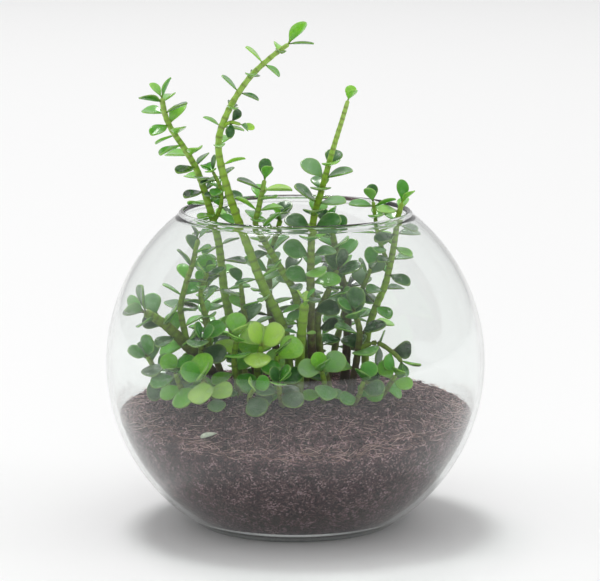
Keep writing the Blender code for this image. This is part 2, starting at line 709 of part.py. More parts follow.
def stem_rings(line, radius, radius_top, swell=0.0, count=0):
    """Corner points and faces of a tapering stem along a line, closed at both ends."""
    lengths = lengths_along(line)
    end = lengths[-1]
    count = count or max(2, math.ceil(end / RING_STEP))
    points = []
    for ring in range(count + 1):
        distance = end * ring / count
        middle, direction = point_at(line, lengths, distance)
        size = (radius + (radius_top - radius) * distance / lengths[-1]) * MM + swell
        for step in range(STEM_SIDES):
            points.append(middle + around(direction, 360 * step / STEM_SIDES) * size)
    faces = [tuple(range(STEM_SIDES))]
    for ring in range(count):
        base = ring * STEM_SIDES
        for step in range(STEM_SIDES):
            after = (step + 1) % STEM_SIDES
            faces.append((base + step, base + STEM_SIDES + step, base + STEM_SIDES + after, base + after))
    base = count * STEM_SIDES
    faces.append(tuple(base + STEM_SIDES - 1 - step for step in range(STEM_SIDES)))
    return points, faces


def root_end(shoot):
    """Where a shoot's buried stem ends, in millimetres: it goes down straight."""
    foot = Vector(shoot.route[0])
    return foot - (Vector(shoot.route[1]) - foot).normalized() * (ROOT_DEPTH / MM)


def rooted_line(shoot):
    """The middle line of a shoot, from its buried end to its tip."""
    return smooth_line((root_end(shoot),) + shoot.route)


def socket_cutter(shoot):
    """The hole that a shoot's buried stem needs in the soil."""
    low = root_end(shoot) * MM
    up = (Vector(shoot.route[1]) * MM - low).normalized()
    line = [low - up * GAP, low + up * (ROOT_DEPTH + SOCKET_TOP)]
    points, faces = stem_rings(line, shoot.radius, shoot.radius, swell=GAP, count=1)
    return mesh_from("socket", points, split_quads(faces))


def build_shoots(space):
    """Every rooted shoot, as one piece each."""
    stems = []
    for shoot in SHOOTS:
        parts = [(rooted_line(shoot), shoot.radius, shoot.radius_top, shoot.growth)]
        for branch in shoot.branches:
            parts.append((smooth_line(branch.route), branch.radius, branch.radius_top, branch.growth))
        for line, radius, radius_top, growth in parts:
            space.add(shoot.name, *stem_rings(line, radius, radius_top, swell=0.0003))
        stems.append((shoot, parts))
    pieces = []
    for shoot, parts in stems:
        operands = []
        trunk = None
        for index, (line, radius, radius_top, growth) in enumerate(parts):
            points, faces = stem_rings(line, radius, radius_top)
            stem = mesh_from(shoot.name, points, split_quads(faces))
            if index == 0:
                trunk = stem
            else:
                operands.append(stem)
            start = 0.0 if index else ROOT_DEPTH
            for leaf in grow_leaves(shoot.name, line, radius, radius_top, growth, start, space):
                points, faces = leaf_solid(leaf)
                operands.append(mesh_from("leaf", points, split_quads(faces)))
        pieces.append(add_object(shoot.name, simplified(combined(trunk, "UNION", operands)), shoot.colour))
    return pieces


def build_fallen(space):
    """The dropped leaf, lowered until it lies on the soil."""
    heading = math.radians(FALLEN_HEADING)
    size = FALLEN_LENGTH * MM
    foot = Vector((FALLEN_PLACE[0] * MM, FALLEN_PLACE[1] * MM, 0.0))
    end = foot + Vector((math.cos(heading), math.sin(heading), 0.0)) * size
    foot.z = soil_height(foot.x, foot.y)
    end.z = soil_height(end.x, end.y)
    along = (end - foot).normalized()
    across = Vector((0, 0, 1)).cross(along).normalized()
    leaf = {"foot": foot, "along": along, "across": across, "face": along.cross(across),
            "stem": 0.0, "length": size, "broad": 0.8}
    while not space.is_clear(*leaf_cage(leaf, GAP / 2)):
        leaf["foot"] = leaf["foot"] + Vector((0, 0, GAP / 2))
    points, faces = leaf_solid(leaf)
    add_object("fallen_leaf", mesh_from("fallen_leaf", points, split_quads(faces)), "dry_leaf")


def shape_of(piece):
    """Corner points and faces of an object's mesh."""
    mesh = piece.data
    return [v.co.copy() for v in mesh.vertices], [tuple(p.vertices) for p in mesh.polygons]


def main():
    """Clear the scene and build the planted bowl."""
    for old in list(bpy.data.objects):
        bpy.data.objects.remove(old)
    space = Space()
    space.add("glass_bowl", *shape_of(build_bowl()))
    space.add("potting_soil", *shape_of(build_soil([socket_cutter(shoot) for shoot in SHOOTS])))
    build_shoots(space)
    build_fallen(space)


main()
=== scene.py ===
"""Glass bowl planted with young dwarf jade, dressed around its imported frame.

Metres, +Z up, -Y is the front of the planting. A name that ends in _mm holds millimetres.
The shoots follow the same routes and the same rule of growth as their solids in the frame.
"""
import logging
import math
import random
from dataclasses import dataclass, field
from enum import Enum

import bmesh
import bpy
import numpy as np
from mathutils import Matrix, Vector, noise
from mathutils.bvhtree import BVHTree


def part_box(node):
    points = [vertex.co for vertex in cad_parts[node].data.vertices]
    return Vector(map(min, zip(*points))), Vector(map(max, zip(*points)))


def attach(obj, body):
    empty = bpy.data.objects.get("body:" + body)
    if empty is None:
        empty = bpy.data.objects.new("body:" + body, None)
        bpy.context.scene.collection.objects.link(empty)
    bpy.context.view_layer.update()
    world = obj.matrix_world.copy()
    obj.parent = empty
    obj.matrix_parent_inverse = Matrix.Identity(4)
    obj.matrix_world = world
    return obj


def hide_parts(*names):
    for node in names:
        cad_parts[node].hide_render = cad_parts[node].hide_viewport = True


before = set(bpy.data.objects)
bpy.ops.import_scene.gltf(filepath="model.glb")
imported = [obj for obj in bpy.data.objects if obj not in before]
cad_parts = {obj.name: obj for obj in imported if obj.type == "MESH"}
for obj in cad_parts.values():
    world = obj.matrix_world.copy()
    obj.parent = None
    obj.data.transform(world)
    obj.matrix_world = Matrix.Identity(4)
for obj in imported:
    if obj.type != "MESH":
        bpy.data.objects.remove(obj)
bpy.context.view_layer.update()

log = logging.getLogger("planted_bowl")

MM = 0.001
MIX_A, MIX_B, MIX_RESULT = 6, 7, 2           # colour sockets of the Mix node
LEAF_MARGIN = 0.0005                         # air kept around a leaf, in metres
STEM_MARGIN = 0.0003                         # air kept around a stem
ROOT_DEPTH = 0.018                           # how deep a stem stands in the soil

Points = list[Vector]
Faces = list[tuple[int, ...]]
Triple = tuple[float, float, float]


class Slot(Enum):
    """The record's material slots."""

    GLASS = "clear_glass"
    SOIL = "potting_soil"
    LEAF = "jade_leaf"
    BARK = "young_bark"
    FALLEN = "pale_leaf"


# ---------------------------------------------------------------- small helpers

def linear(colour: str) -> tuple[float, float, float, float]:
    """Turn an sRGB colour into the renderer's linear one.

    Args:
        colour: Six hex digits.

    Returns:
        Red, green, blue and an alpha of 1.
    """
    channels = [int(colour[start:start + 2], 16) / 255 for start in (0, 2, 4)]
    curved = [value / 12.92 if value <= 0.04045 else ((value + 0.055) / 1.055) ** 2.4
              for value in channels]
    return (curved[0], curved[1], curved[2], 1.0)


def per_mm(size_mm: float) -> float:
    """Scale of a pattern, in metres of object space, whose features are size_mm apart."""
    return 1.0 / (size_mm * MM)


def add_node(tree: bpy.types.NodeTree, kind: str, inputs: dict | None = None,
             stops: tuple[tuple[float, str], ...] = (), **settings: object) -> bpy.types.Node:
    """Add a node with its settings, its values and its links.

    Args:
        tree: The node tree that it goes in.
        kind: The node's type name.
        inputs: A value, or the socket that feeds it, for each input by name or number.
        stops: Places and hex colours of a colour ramp.
        settings: The node's own properties.

    Returns:
        The new node.
    """
    node = tree.nodes.new(kind)
    for name, value in settings.items():
        setattr(node, name, value)
    for key, value in (inputs or {}).items():
        if isinstance(value, bpy.types.NodeSocket):
            tree.links.new(value, node.inputs[key])
        else:
            node.inputs[key].default_value = value
    if stops:
        ramp = node.color_ramp.elements
        while len(ramp) < len(stops):
            ramp.new(1.0)
        for element, (place, colour) in zip(ramp, stops):
            element.position = place
            element.color = linear(colour)
    return node


def in_scene(name: str, data: bpy.types.ID) -> bpy.types.Object:
    """Put an object that shows a mesh, a lamp or a camera into the scene.

    Args:
        name: The object's name.
        data: What it shows.

    Returns:
        The new object.
    """
    piece = bpy.data.objects.new(name, data)
    bpy.context.scene.collection.objects.link(piece)
    return piece


def mesh_piece(name: str, points: list | np.ndarray, faces: Faces) -> bpy.types.Object:
    """Make an object from points and faces, smooth shaded, with its faces outward.

    Args:
        name: The piece's name.
        points: Corner points in the frame.
        faces: Corner numbers of each face.

    Returns:
        The new object, in the scene.
    """
    mesh = bpy.data.meshes.new(name)
    mesh.from_pydata([tuple(point) for point in points], [], faces)
    shell = bmesh.new()
    shell.from_mesh(mesh)
    bmesh.ops.recalc_face_normals(shell, faces=shell.faces)
    shell.to_mesh(mesh)
    shell.free()
    mesh.shade_smooth()
    return in_scene(name, mesh)


def paint_values(piece: bpy.types.Object, values: dict[str, np.ndarray]) -> None:
    """Store one number per corner point under each name, for the finishes to read.

    Args:
        piece: The piece.
        values: A number for each of its points, under each name.
    """
    for name, numbers in values.items():
        attribute = piece.data.attributes.new(name, "FLOAT", "POINT")
        attribute.data.foreach_set("value", np.asarray(numbers, np.float32))


def tube_faces(rings: int, sides: int, first: int = 0) -> Faces:
    """Faces of a tube: quads between its rings and a face over each end.

    Args:
        rings: How many rings of points it has.
        sides: Points in a ring.
        first: Number of its first point.

    Returns:
        The faces.
    """
    faces: Faces = [tuple(first + step for step in range(sides))]
    for ring in range(rings - 1):
        base = first + ring * sides
        for step in range(sides):
            after = (step + 1) % sides
            faces.append((base + step, base + sides + step, base + sides + after, base + after))
    base = first + (rings - 1) * sides
    faces.append(tuple(base + sides - 1 - step for step in range(sides)))
    return faces


# ---------------------------------------------------------------- finishes

@dataclass(frozen=True)
class Finish:
    """A surface: one material, made when it is first asked for."""

    name: str = "finish"

    def material(self) -> bpy.types.Material:
        """Return this finish's material.

        Returns:
            The material, the same one at every call.
        """
        known = bpy.data.materials.get(self.name)
        if known:
            return known
        material = bpy.data.materials.new(self.name)
        material.use_nodes = True
        material.node_tree.nodes.clear()
        self.paint(material.node_tree)
        return material

    def paint(self, tree: bpy.types.NodeTree) -> None:
        """Fill the material's nodes."""
        raise NotImplementedError


@dataclass(frozen=True)
class BlownGlass(Finish):
    """Soda-lime glass, blown and fire-polished: clear, with a trace of grey where thick."""

    name: str = "blown_glass"
    tint: str = "fbfdfc"
    shade: str = "f4f6f5"
    depth_tint: str = "bcbfbe"
    depth: float = 6.0          # how fast it darkens, per metre of glass
    ior: float = 1.5
    wave_mm: float = 34.0
    wave_depth_mm: float = 0.035

    def paint(self, tree: bpy.types.NodeTree) -> None:
        """Clear glass that lets the lamps' light straight through to the plants.

        Args:
            tree: The material's nodes.
        """
        place = add_node(tree, "ShaderNodeTexCoord").outputs["Object"]
        wave = add_node(tree, "ShaderNodeTexNoise", {"Vector": place, "Scale": per_mm(self.wave_mm),
                                                     "Detail": 1.0})
        # A blown wall is never quite even, which bends the reflections in it a little.
        bend = add_node(tree, "ShaderNodeBump", {"Height": wave.outputs["Fac"], "Strength": 0.5,
                                                 "Distance": self.wave_depth_mm * MM})
        glass = add_node(tree, "ShaderNodeBsdfPrincipled", {
            "Base Color": linear(self.tint), "Roughness": 0.0, "IOR": self.ior,
            "Transmission Weight": 1.0, "Normal": bend.outputs["Normal"]})
        clear = add_node(tree, "ShaderNodeBsdfTransparent", {"Color": linear(self.shade)})
        ray = add_node(tree, "ShaderNodeLightPath").outputs["Is Shadow Ray"]
        mix = add_node(tree, "ShaderNodeMixShader", {0: ray, 1: glass.outputs[0], 2: clear.outputs[0]})
        # Seen edge on, the light comes through much more glass, which draws the bowl's grey outline.
        body = add_node(tree, "ShaderNodeVolumeAbsorption", {"Color": linear(self.depth_tint),
                                                             "Density": self.depth})
        add_node(tree, "ShaderNodeOutputMaterial", {"Surface": mix.outputs[0], "Volume": body.outputs[0]})


@dataclass(frozen=True)
class JadeLeaf(Finish):
    """Living dwarf jade leaf: fleshy and waxy, so it has a satin shine and glows a little."""

    name: str = "jade_leaf_skin"
    dark: str = "0a2c08"
    deep: str = "1e5c14"
    middle: str = "54ac26"
    bright: str = "8ad43a"
    lime: str = "c0ec60"
    margin: str = "a3c463"
    blush: str = "7a4e30"
    bloom: str = "8fb487"
    mottle_mm: float = 1.6       # drawn coarser than the real one, so that it shows
    bloom_mm: float = 7.0
    dimple_mm: float = 1.1

    def paint(self, tree: bpy.types.NodeTree) -> None:
        """Green by the leaf's tone, lighter at its margin, with a thin uneven bloom of wax.

        Args:
            tree: The material's nodes.
        """
        place = add_node(tree, "ShaderNodeTexCoord").outputs["Object"]
        tone, rim, foot, pale = (
            add_node(tree, "ShaderNodeAttribute", attribute_name=name).outputs["Fac"]
            for name in ("tone", "rim", "foot", "pale"))
        mottle = add_node(tree, "ShaderNodeTexNoise", {"Vector": place, "Scale": per_mm(self.mottle_mm),
                                                       "Detail": 3.0, "Roughness": 0.6})
        drift = add_node(tree, "ShaderNodeMath", {0: mottle.outputs["Fac"], 1: 0.22, 2: -0.11},
                         operation="MULTIPLY_ADD")
        shade = add_node(tree, "ShaderNodeMath", {0: tone, 1: drift.outputs[0]}, operation="ADD")
        body = add_node(tree, "ShaderNodeValToRGB", {"Fac": shade.outputs[0]}, stops=(
            (0.0, self.dark), (0.28, self.deep), (0.55, self.middle), (0.8, self.bright), (1.0, self.lime)))
        patches = add_node(tree, "ShaderNodeTexNoise", {"Vector": place, "Scale": per_mm(self.bloom_mm),
                                                        "Detail": 2.0})
        wax = add_node(tree, "ShaderNodeMapRange", {"Value": patches.outputs["Fac"], "From Min": 0.45,
                                                    "From Max": 0.75, "To Min": 0.0, "To Max": 0.3})
        waxy = add_node(tree, "ShaderNodeMath", {0: wax.outputs[0], 1: pale}, operation="ADD",
                        use_clamp=True)
        bloomed = add_node(tree, "ShaderNodeMix", {0: waxy.outputs[0], MIX_A: body.outputs["Color"],
                                                   MIX_B: linear(self.bloom)}, data_type="RGBA")
        skin = bloomed
        for where, strength, colour in ((rim, 0.55, self.margin), (foot, 0.5, self.blush)):
            amount = add_node(tree, "ShaderNodeMath", {0: where, 1: strength}, operation="MULTIPLY")
            skin = add_node(tree, "ShaderNodeMix", {0: amount.outputs[0], MIX_A: skin.outputs[MIX_RESULT],
                                                    MIX_B: linear(colour)}, data_type="RGBA")
        polish = add_node(tree, "ShaderNodeMapRange", {"Value": patches.outputs["Fac"], "From Min": 0.3,
                                                       "From Max": 0.7, "To Min": 0.16, "To Max": 0.3})
        dimples = add_node(tree, "ShaderNodeTexNoise", {"Vector": place, "Scale": per_mm(self.dimple_mm),
                                                        "Detail": 2.0})
        bump = add_node(tree, "ShaderNodeBump", {"Height": dimples.outputs["Fac"], "Strength": 0.35,
                                                 "Distance": 0.06 * MM})
        shader = add_node(tree, "ShaderNodeBsdfPrincipled", {
            "Base Color": skin.outputs[MIX_RESULT], "Roughness": polish.outputs[0], "IOR": 1.42,
            "Coat Weight": 0.5, "Coat Roughness": 0.16, "Coat IOR": 1.5,
            "Subsurface Weight": 0.2, "Subsurface Radius": (0.6, 1.0, 0.1), "Subsurface Scale": 1.6 * MM,
            "Normal": bump.outputs["Normal"]})
        add_node(tree, "ShaderNodeOutputMaterial", {"Surface": shader.outputs[0]})


@dataclass(frozen=True)
class JadeStem(Finish):
    """Jade stem: smooth lime skin at the tip that dulls to olive and then to dark, cracked bark."""

    name: str = "jade_stem_skin"
    tip: str = "a6c766"
    young: str = "90bc30"
    olive: str = "7c9438"
    brown: str = "54482f"
    bark: str = "2a231c"
    ring: str = "5b5a35"
    grain_mm: float = 1.3        # the lengthwise cracks, drawn about twice their real width
    spot_mm: float = 4.0

    def paint(self, tree: bpy.types.NodeTree) -> None:
        """Colour by age along the stem, with darker rings where leaves grow or grew.

        Args:
            tree: The material's nodes.
        """
        place = add_node(tree, "ShaderNodeTexCoord").outputs["Object"]
        age, knot = (add_node(tree, "ShaderNodeAttribute", attribute_name=name).outputs["Fac"]
                     for name in ("age", "knot"))
        spots = add_node(tree, "ShaderNodeTexNoise", {"Vector": place, "Scale": per_mm(self.spot_mm),
                                                      "Detail": 3.0, "Roughness": 0.6})
        drift = add_node(tree, "ShaderNodeMath", {0: spots.outputs["Fac"], 1: 0.4, 2: -0.2},
                         operation="MULTIPLY_ADD")
        aged = add_node(tree, "ShaderNodeMath", {0: age, 1: drift.outputs[0]}, operation="ADD")
        body = add_node(tree, "ShaderNodeValToRGB", {"Fac": aged.outputs[0]}, stops=(
            (0.0, self.tip), (0.25, self.young), (0.5, self.olive), (0.72, self.brown), (1.0, self.bark)))
        band = add_node(tree, "ShaderNodeMath", {0: knot, 1: 0.6}, operation="MULTIPLY")
        ringed = add_node(tree, "ShaderNodeMix", {0: band.outputs[0], MIX_A: body.outputs["Color"],
                                                  MIX_B: linear(self.ring)}, data_type="RGBA")
        long_way = add_node(tree, "ShaderNodeVectorMath", {0: place, 1: (1.0, 1.0, 0.22)},
                            operation="MULTIPLY")
        cracks = add_node(tree, "ShaderNodeTexNoise", {"Vector": long_way.outputs[0],
                                                       "Scale": per_mm(self.grain_mm), "Detail": 4.0})
        depth = add_node(tree, "ShaderNodeMath", {0: cracks.outputs["Fac"], 1: age}, operation="MULTIPLY")
        bump = add_node(tree, "ShaderNodeBump", {"Height": depth.outputs[0], "Strength": 0.9,
                                                 "Distance": 0.5 * MM})
        dull = add_node(tree, "ShaderNodeMapRange", {"Value": aged.outputs[0], "To Min": 0.32,
                                                     "To Max": 0.85})
        shader = add_node(tree, "ShaderNodeBsdfPrincipled", {
            "Base Color": ringed.outputs[MIX_RESULT], "Roughness": dull.outputs[0], "IOR": 1.45,
            "Subsurface Weight": 0.1, "Subsurface Radius": (0.4, 1.0, 0.15), "Subsurface Scale": 1.2 * MM,
            "Normal": bump.outputs["Normal"]})
        add_node(tree, "ShaderNodeOutputMaterial", {"Surface": shader.outputs[0]})


@dataclass(frozen=True)
class CoirSoil(Finish):
    """Damp potting mix of coir and peat: matt, dark and reddish, with paler fibres and grains."""

    name: str = "coir_soil"
    peat: str = "180d0f"
    earth: str = "3a2227"
    coir: str = "704c52"
    grain: str = "c8a8ac"
    grain_mm: float = 0.9        # coarse grains of peat, at their real size
    clump_mm: float = 9.0
    strand_mm: float = 0.6

    def paint(self, tree: bpy.types.NodeTree) -> None:
        """Each grain has its own shade, within damper and drier clumps; some are pale.

        Args:
            tree: The material's nodes.
        """
        place = add_node(tree, "ShaderNodeTexCoord").outputs["Object"]
        tone = add_node(tree, "ShaderNodeAttribute", attribute_name="tone").outputs["Fac"]
        clumps = add_node(tree, "ShaderNodeTexNoise", {"Vector": place, "Scale": per_mm(self.clump_mm),
                                                       "Detail": 5.0, "Roughness": 0.65})
        grains = add_node(tree, "ShaderNodeTexVoronoi", {"Vector": place, "Scale": per_mm(self.grain_mm)})
        own = add_node(tree, "ShaderNodeSeparateColor", {0: grains.outputs["Color"]}).outputs[0]
        flat = add_node(tree, "ShaderNodeVectorMath", {0: place, 1: (0.6, 0.6, 1.3)}, operation="MULTIPLY")
        strands = add_node(tree, "ShaderNodeTexNoise", {"Vector": flat.outputs[0],
                                                        "Scale": per_mm(self.strand_mm),
                                                        "Detail": 4.0, "Roughness": 0.7, "Distortion": 0.2})
        part = add_node(tree, "ShaderNodeMath", {0: own, 1: 0.7, 2: clumps.outputs["Fac"]},
                        operation="MULTIPLY_ADD")
        whole = add_node(tree, "ShaderNodeMath", {0: strands.outputs["Fac"], 1: 0.8, 2: part.outputs[0]},
                         operation="MULTIPLY_ADD")
        spread = add_node(tree, "ShaderNodeMapRange", {"Value": whole.outputs[0], "From Min": 0.88,
                                                       "From Max": 1.68})
        shade = add_node(tree, "ShaderNodeMath", {0: spread.outputs[0], 1: tone}, operation="ADD")
        colour = add_node(tree, "ShaderNodeValToRGB", {"Fac": shade.outputs[0]}, stops=(
            (0.0, self.peat), (0.4, self.earth), (0.72, self.coir), (1.0, self.grain)))
        bump = add_node(tree, "ShaderNodeBump", {"Height": whole.outputs[0], "Strength": 1.0,
                                                 "Distance": 1.0 * MM})
        shader = add_node(tree, "ShaderNodeBsdfPrincipled", {
            "Base Color": colour.outputs["Color"], "Roughness": 0.92, "IOR": 1.4,
            "Normal": bump.outputs["Normal"]})
        add_node(tree, "ShaderNodeOutputMaterial", {"Surface": shader.outputs[0]})


@dataclass(frozen=True)
class CoirFibre(Finish):
    """Loose strands of coconut fibre: dry, matt, from red brown to straw."""

    name: str = "coir_fibre"
    dark: str = "4a3230"
    red: str = "a07872"
    straw: str = "dcbcb4"
    wear_mm: float = 2.5

    def paint(self, tree: bpy.types.NodeTree) -> None:
        """Each strand has its own colour, a little uneven along its length.

        Args:
            tree: The material's nodes.
        """
        place = add_node(tree, "ShaderNodeTexCoord").outputs["Object"]
        tone = add_node(tree, "ShaderNodeAttribute", attribute_name="tone").outputs["Fac"]
        wear = add_node(tree, "ShaderNodeTexNoise", {"Vector": place, "Scale": per_mm(self.wear_mm),
                                                     "Detail": 2.0})
        shade = add_node(tree, "ShaderNodeMath", {0: wear.outputs["Fac"], 1: 0.4, 2: tone},
                         operation="MULTIPLY_ADD")
        colour = add_node(tree, "ShaderNodeValToRGB", {"Fac": shade.outputs[0]}, stops=(
            (0.1, self.dark), (0.7, self.red), (1.3 / 1.4, self.straw)))
        shader = add_node(tree, "ShaderNodeBsdfPrincipled", {
            "Base Color": colour.outputs["Color"], "Roughness": 0.8, "IOR": 1.45})
        add_node(tree, "ShaderNodeOutputMaterial", {"Surface": shader.outputs[0]})


@dataclass(frozen=True)
class DryLeaf(Finish):
    """A dropped jade leaf: it has lost its shine and pales from green to straw grey."""

    name: str = "dry_leaf_skin"
    green: str = "a9b59f"
    straw: str = "dfe2d2"
    patch_mm: float = 3.0

    def paint(self, tree: bpy.types.NodeTree) -> None:
        """Patches of straw colour over dull green, wrinkled.

        Args:
            tree: The material's nodes.
        """
        place = add_node(tree, "ShaderNodeTexCoord").outputs["Object"]
        patches = add_node(tree, "ShaderNodeTexNoise", {"Vector": place, "Scale": per_mm(self.patch_mm),
                                                        "Detail": 4.0})
        colour = add_node(tree, "ShaderNodeValToRGB", {"Fac": patches.outputs["Fac"]}, stops=(
            (0.3, self.green), (0.7, self.straw)))
        bump = add_node(tree, "ShaderNodeBump", {"Height": patches.outputs["Fac"], "Strength": 0.6,
                                                 "Distance": 0.4 * MM})
        shader = add_node(tree, "ShaderNodeBsdfPrincipled", {
            "Base Color": colour.outputs["Color"], "Roughness": 0.55, "Normal": bump.outputs["Normal"]})
        add_node(tree, "ShaderNodeOutputMaterial", {"Surface": shader.outputs[0]})


@dataclass(frozen=True)
class PaleFloor(Finish):
    """Matt white studio floor."""

    name: str = "pale_floor"
    colour: str = "f0f0f0"

    def paint(self, tree: bpy.types.NodeTree) -> None:
        """A plain matt white.

        Args:
            tree: The material's nodes.
        """
        shader = add_node(tree, "ShaderNodeBsdfPrincipled", {"Base Color": linear(self.colour),
                                                             "Roughness": 0.7})
        add_node(tree, "ShaderNodeOutputMaterial", {"Surface": shader.outputs[0]})


# ---------------------------------------------------------------- the bowl

@dataclass
class GlassBowl:
    """A blown ball, open at the top, on a flat foot with a pushed-up centre."""

    radius: float = 0.125
    centre: float = 0.106
    rim_rise: float = 0.0985
    wall: float = 0.003
    floor: float = 0.0045
    kick_radius: float = 0.034
    kick_height: float = 0.0015
    foot_cut: float = 0.0012     # height at which the ball gives way to its foot
    foot_inset: float = 0.0026   # from the ball's outline in to the flat ring
    foot_bevel: tuple[float, float] = (0.0010, 0.0004)
    lip_drop: float = 0.0004     # how much lower the inside edge is
    lip_bulge: float = 1.25      # 1 is a half circle
    well_rise: float = 0.004     # where the inside wall turns into the floor
    well_inset: tuple[float, float] = (0.0026, 0.0024)
    well_reach: float = 0.0070
    weld: float = 0.000005       # points closer than this are one
    segments: int = 160
    wall_steps: int = 72
    lip_steps: int = 12
    finish: Finish = field(default_factory=BlownGlass)

    def inside(self, height: float) -> float:
        """Inside radius of the wall at a height."""
        inner = self.radius - self.wall
        return math.sqrt(max(inner ** 2 - (height - self.centre) ** 2, 0.0))

    def ball_points(self, radius: float, low: float, high: float) -> list[tuple[float, float]]:
        """Points on a circle of the ball's profile.

        Args:
            radius: The circle's radius.
            low: Angle of the first point above the ball's middle.
            high: Angle of the last one.

        Returns:
            Pairs of reach and height.
        """
        angles = [low + (high - low) * step / self.wall_steps for step in range(self.wall_steps + 1)]
        return [(radius * math.cos(a), self.centre + radius * math.sin(a)) for a in angles]

    def profile(self) -> list[tuple[float, float]]:
        """The wall's section, from the middle of the underside round to the inside floor.

        Returns:
            Pairs of reach and height.
        """
        inner = self.radius - self.wall
        top = math.asin(self.rim_rise / self.radius)
        foot = math.asin((self.foot_cut - self.centre) / self.radius)
        outside = self.ball_points(self.radius, foot, top)
        inside = self.ball_points(inner, math.asin((self.rim_rise - self.lip_drop) / inner),
                                  math.asin((self.floor + self.well_rise - self.centre) / inner))
        start = Vector(outside[-1])
        end = Vector(inside[0])
        middle = (start + end) / 2
        reach = (start - end) / 2
        rise = Vector((-reach.y, reach.x)) * self.lip_bulge
        lip = []
        for step in range(1, self.lip_steps):
            angle = math.pi * step / self.lip_steps
            lip.append(tuple(middle + reach * math.cos(angle) + rise * math.sin(angle)))
        under = [(0.0, self.kick_height), (self.kick_radius * 0.6, self.kick_height),
                 (self.kick_radius * 0.85, self.kick_height * 0.5), (self.kick_radius, 0.0),
                 (outside[0][0] - self.foot_inset, 0.0),
                 (outside[0][0] - self.foot_bevel[0], self.foot_bevel[1])]
        corner = inside[-1]
        well = [(corner[0] - self.well_inset[0], corner[1] - self.well_inset[1]),
                (corner[0] - self.well_reach, self.floor), (0.0, self.floor)]
        return under + outside + lip + inside + well

    def build(self) -> bpy.types.Object:
        """Spin the section about the bowl's axis.

        Returns:
            The bare piece.
        """
        shell = bmesh.new()
        verts = [shell.verts.new((reach, 0.0, height)) for reach, height in self.profile()]
        edges = [shell.edges.new(pair) for pair in zip(verts, verts[1:])]
        bmesh.ops.spin(shell, geom=verts + edges, cent=(0, 0, 0), axis=(0, 0, 1), angle=2 * math.pi,
                       steps=self.segments, use_merge=True)
        bmesh.ops.remove_doubles(shell, verts=shell.verts, dist=self.weld)
        bmesh.ops.recalc_face_normals(shell, faces=shell.faces)
        mesh = bpy.data.meshes.new("blown_bowl")
        shell.to_mesh(mesh)
        shell.free()
        mesh.shade_smooth()
        return in_scene("blown_bowl", mesh)

    def dress(self, piece: bpy.types.Object) -> None:
        """Give the bowl its glass and its place in the frame.

        Args:
            piece: The spun bowl.
        """
        piece.data.materials.append(self.finish.material())
        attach(piece, "root")
        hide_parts("glass_bowl")


# ---------------------------------------------------------------- the soil

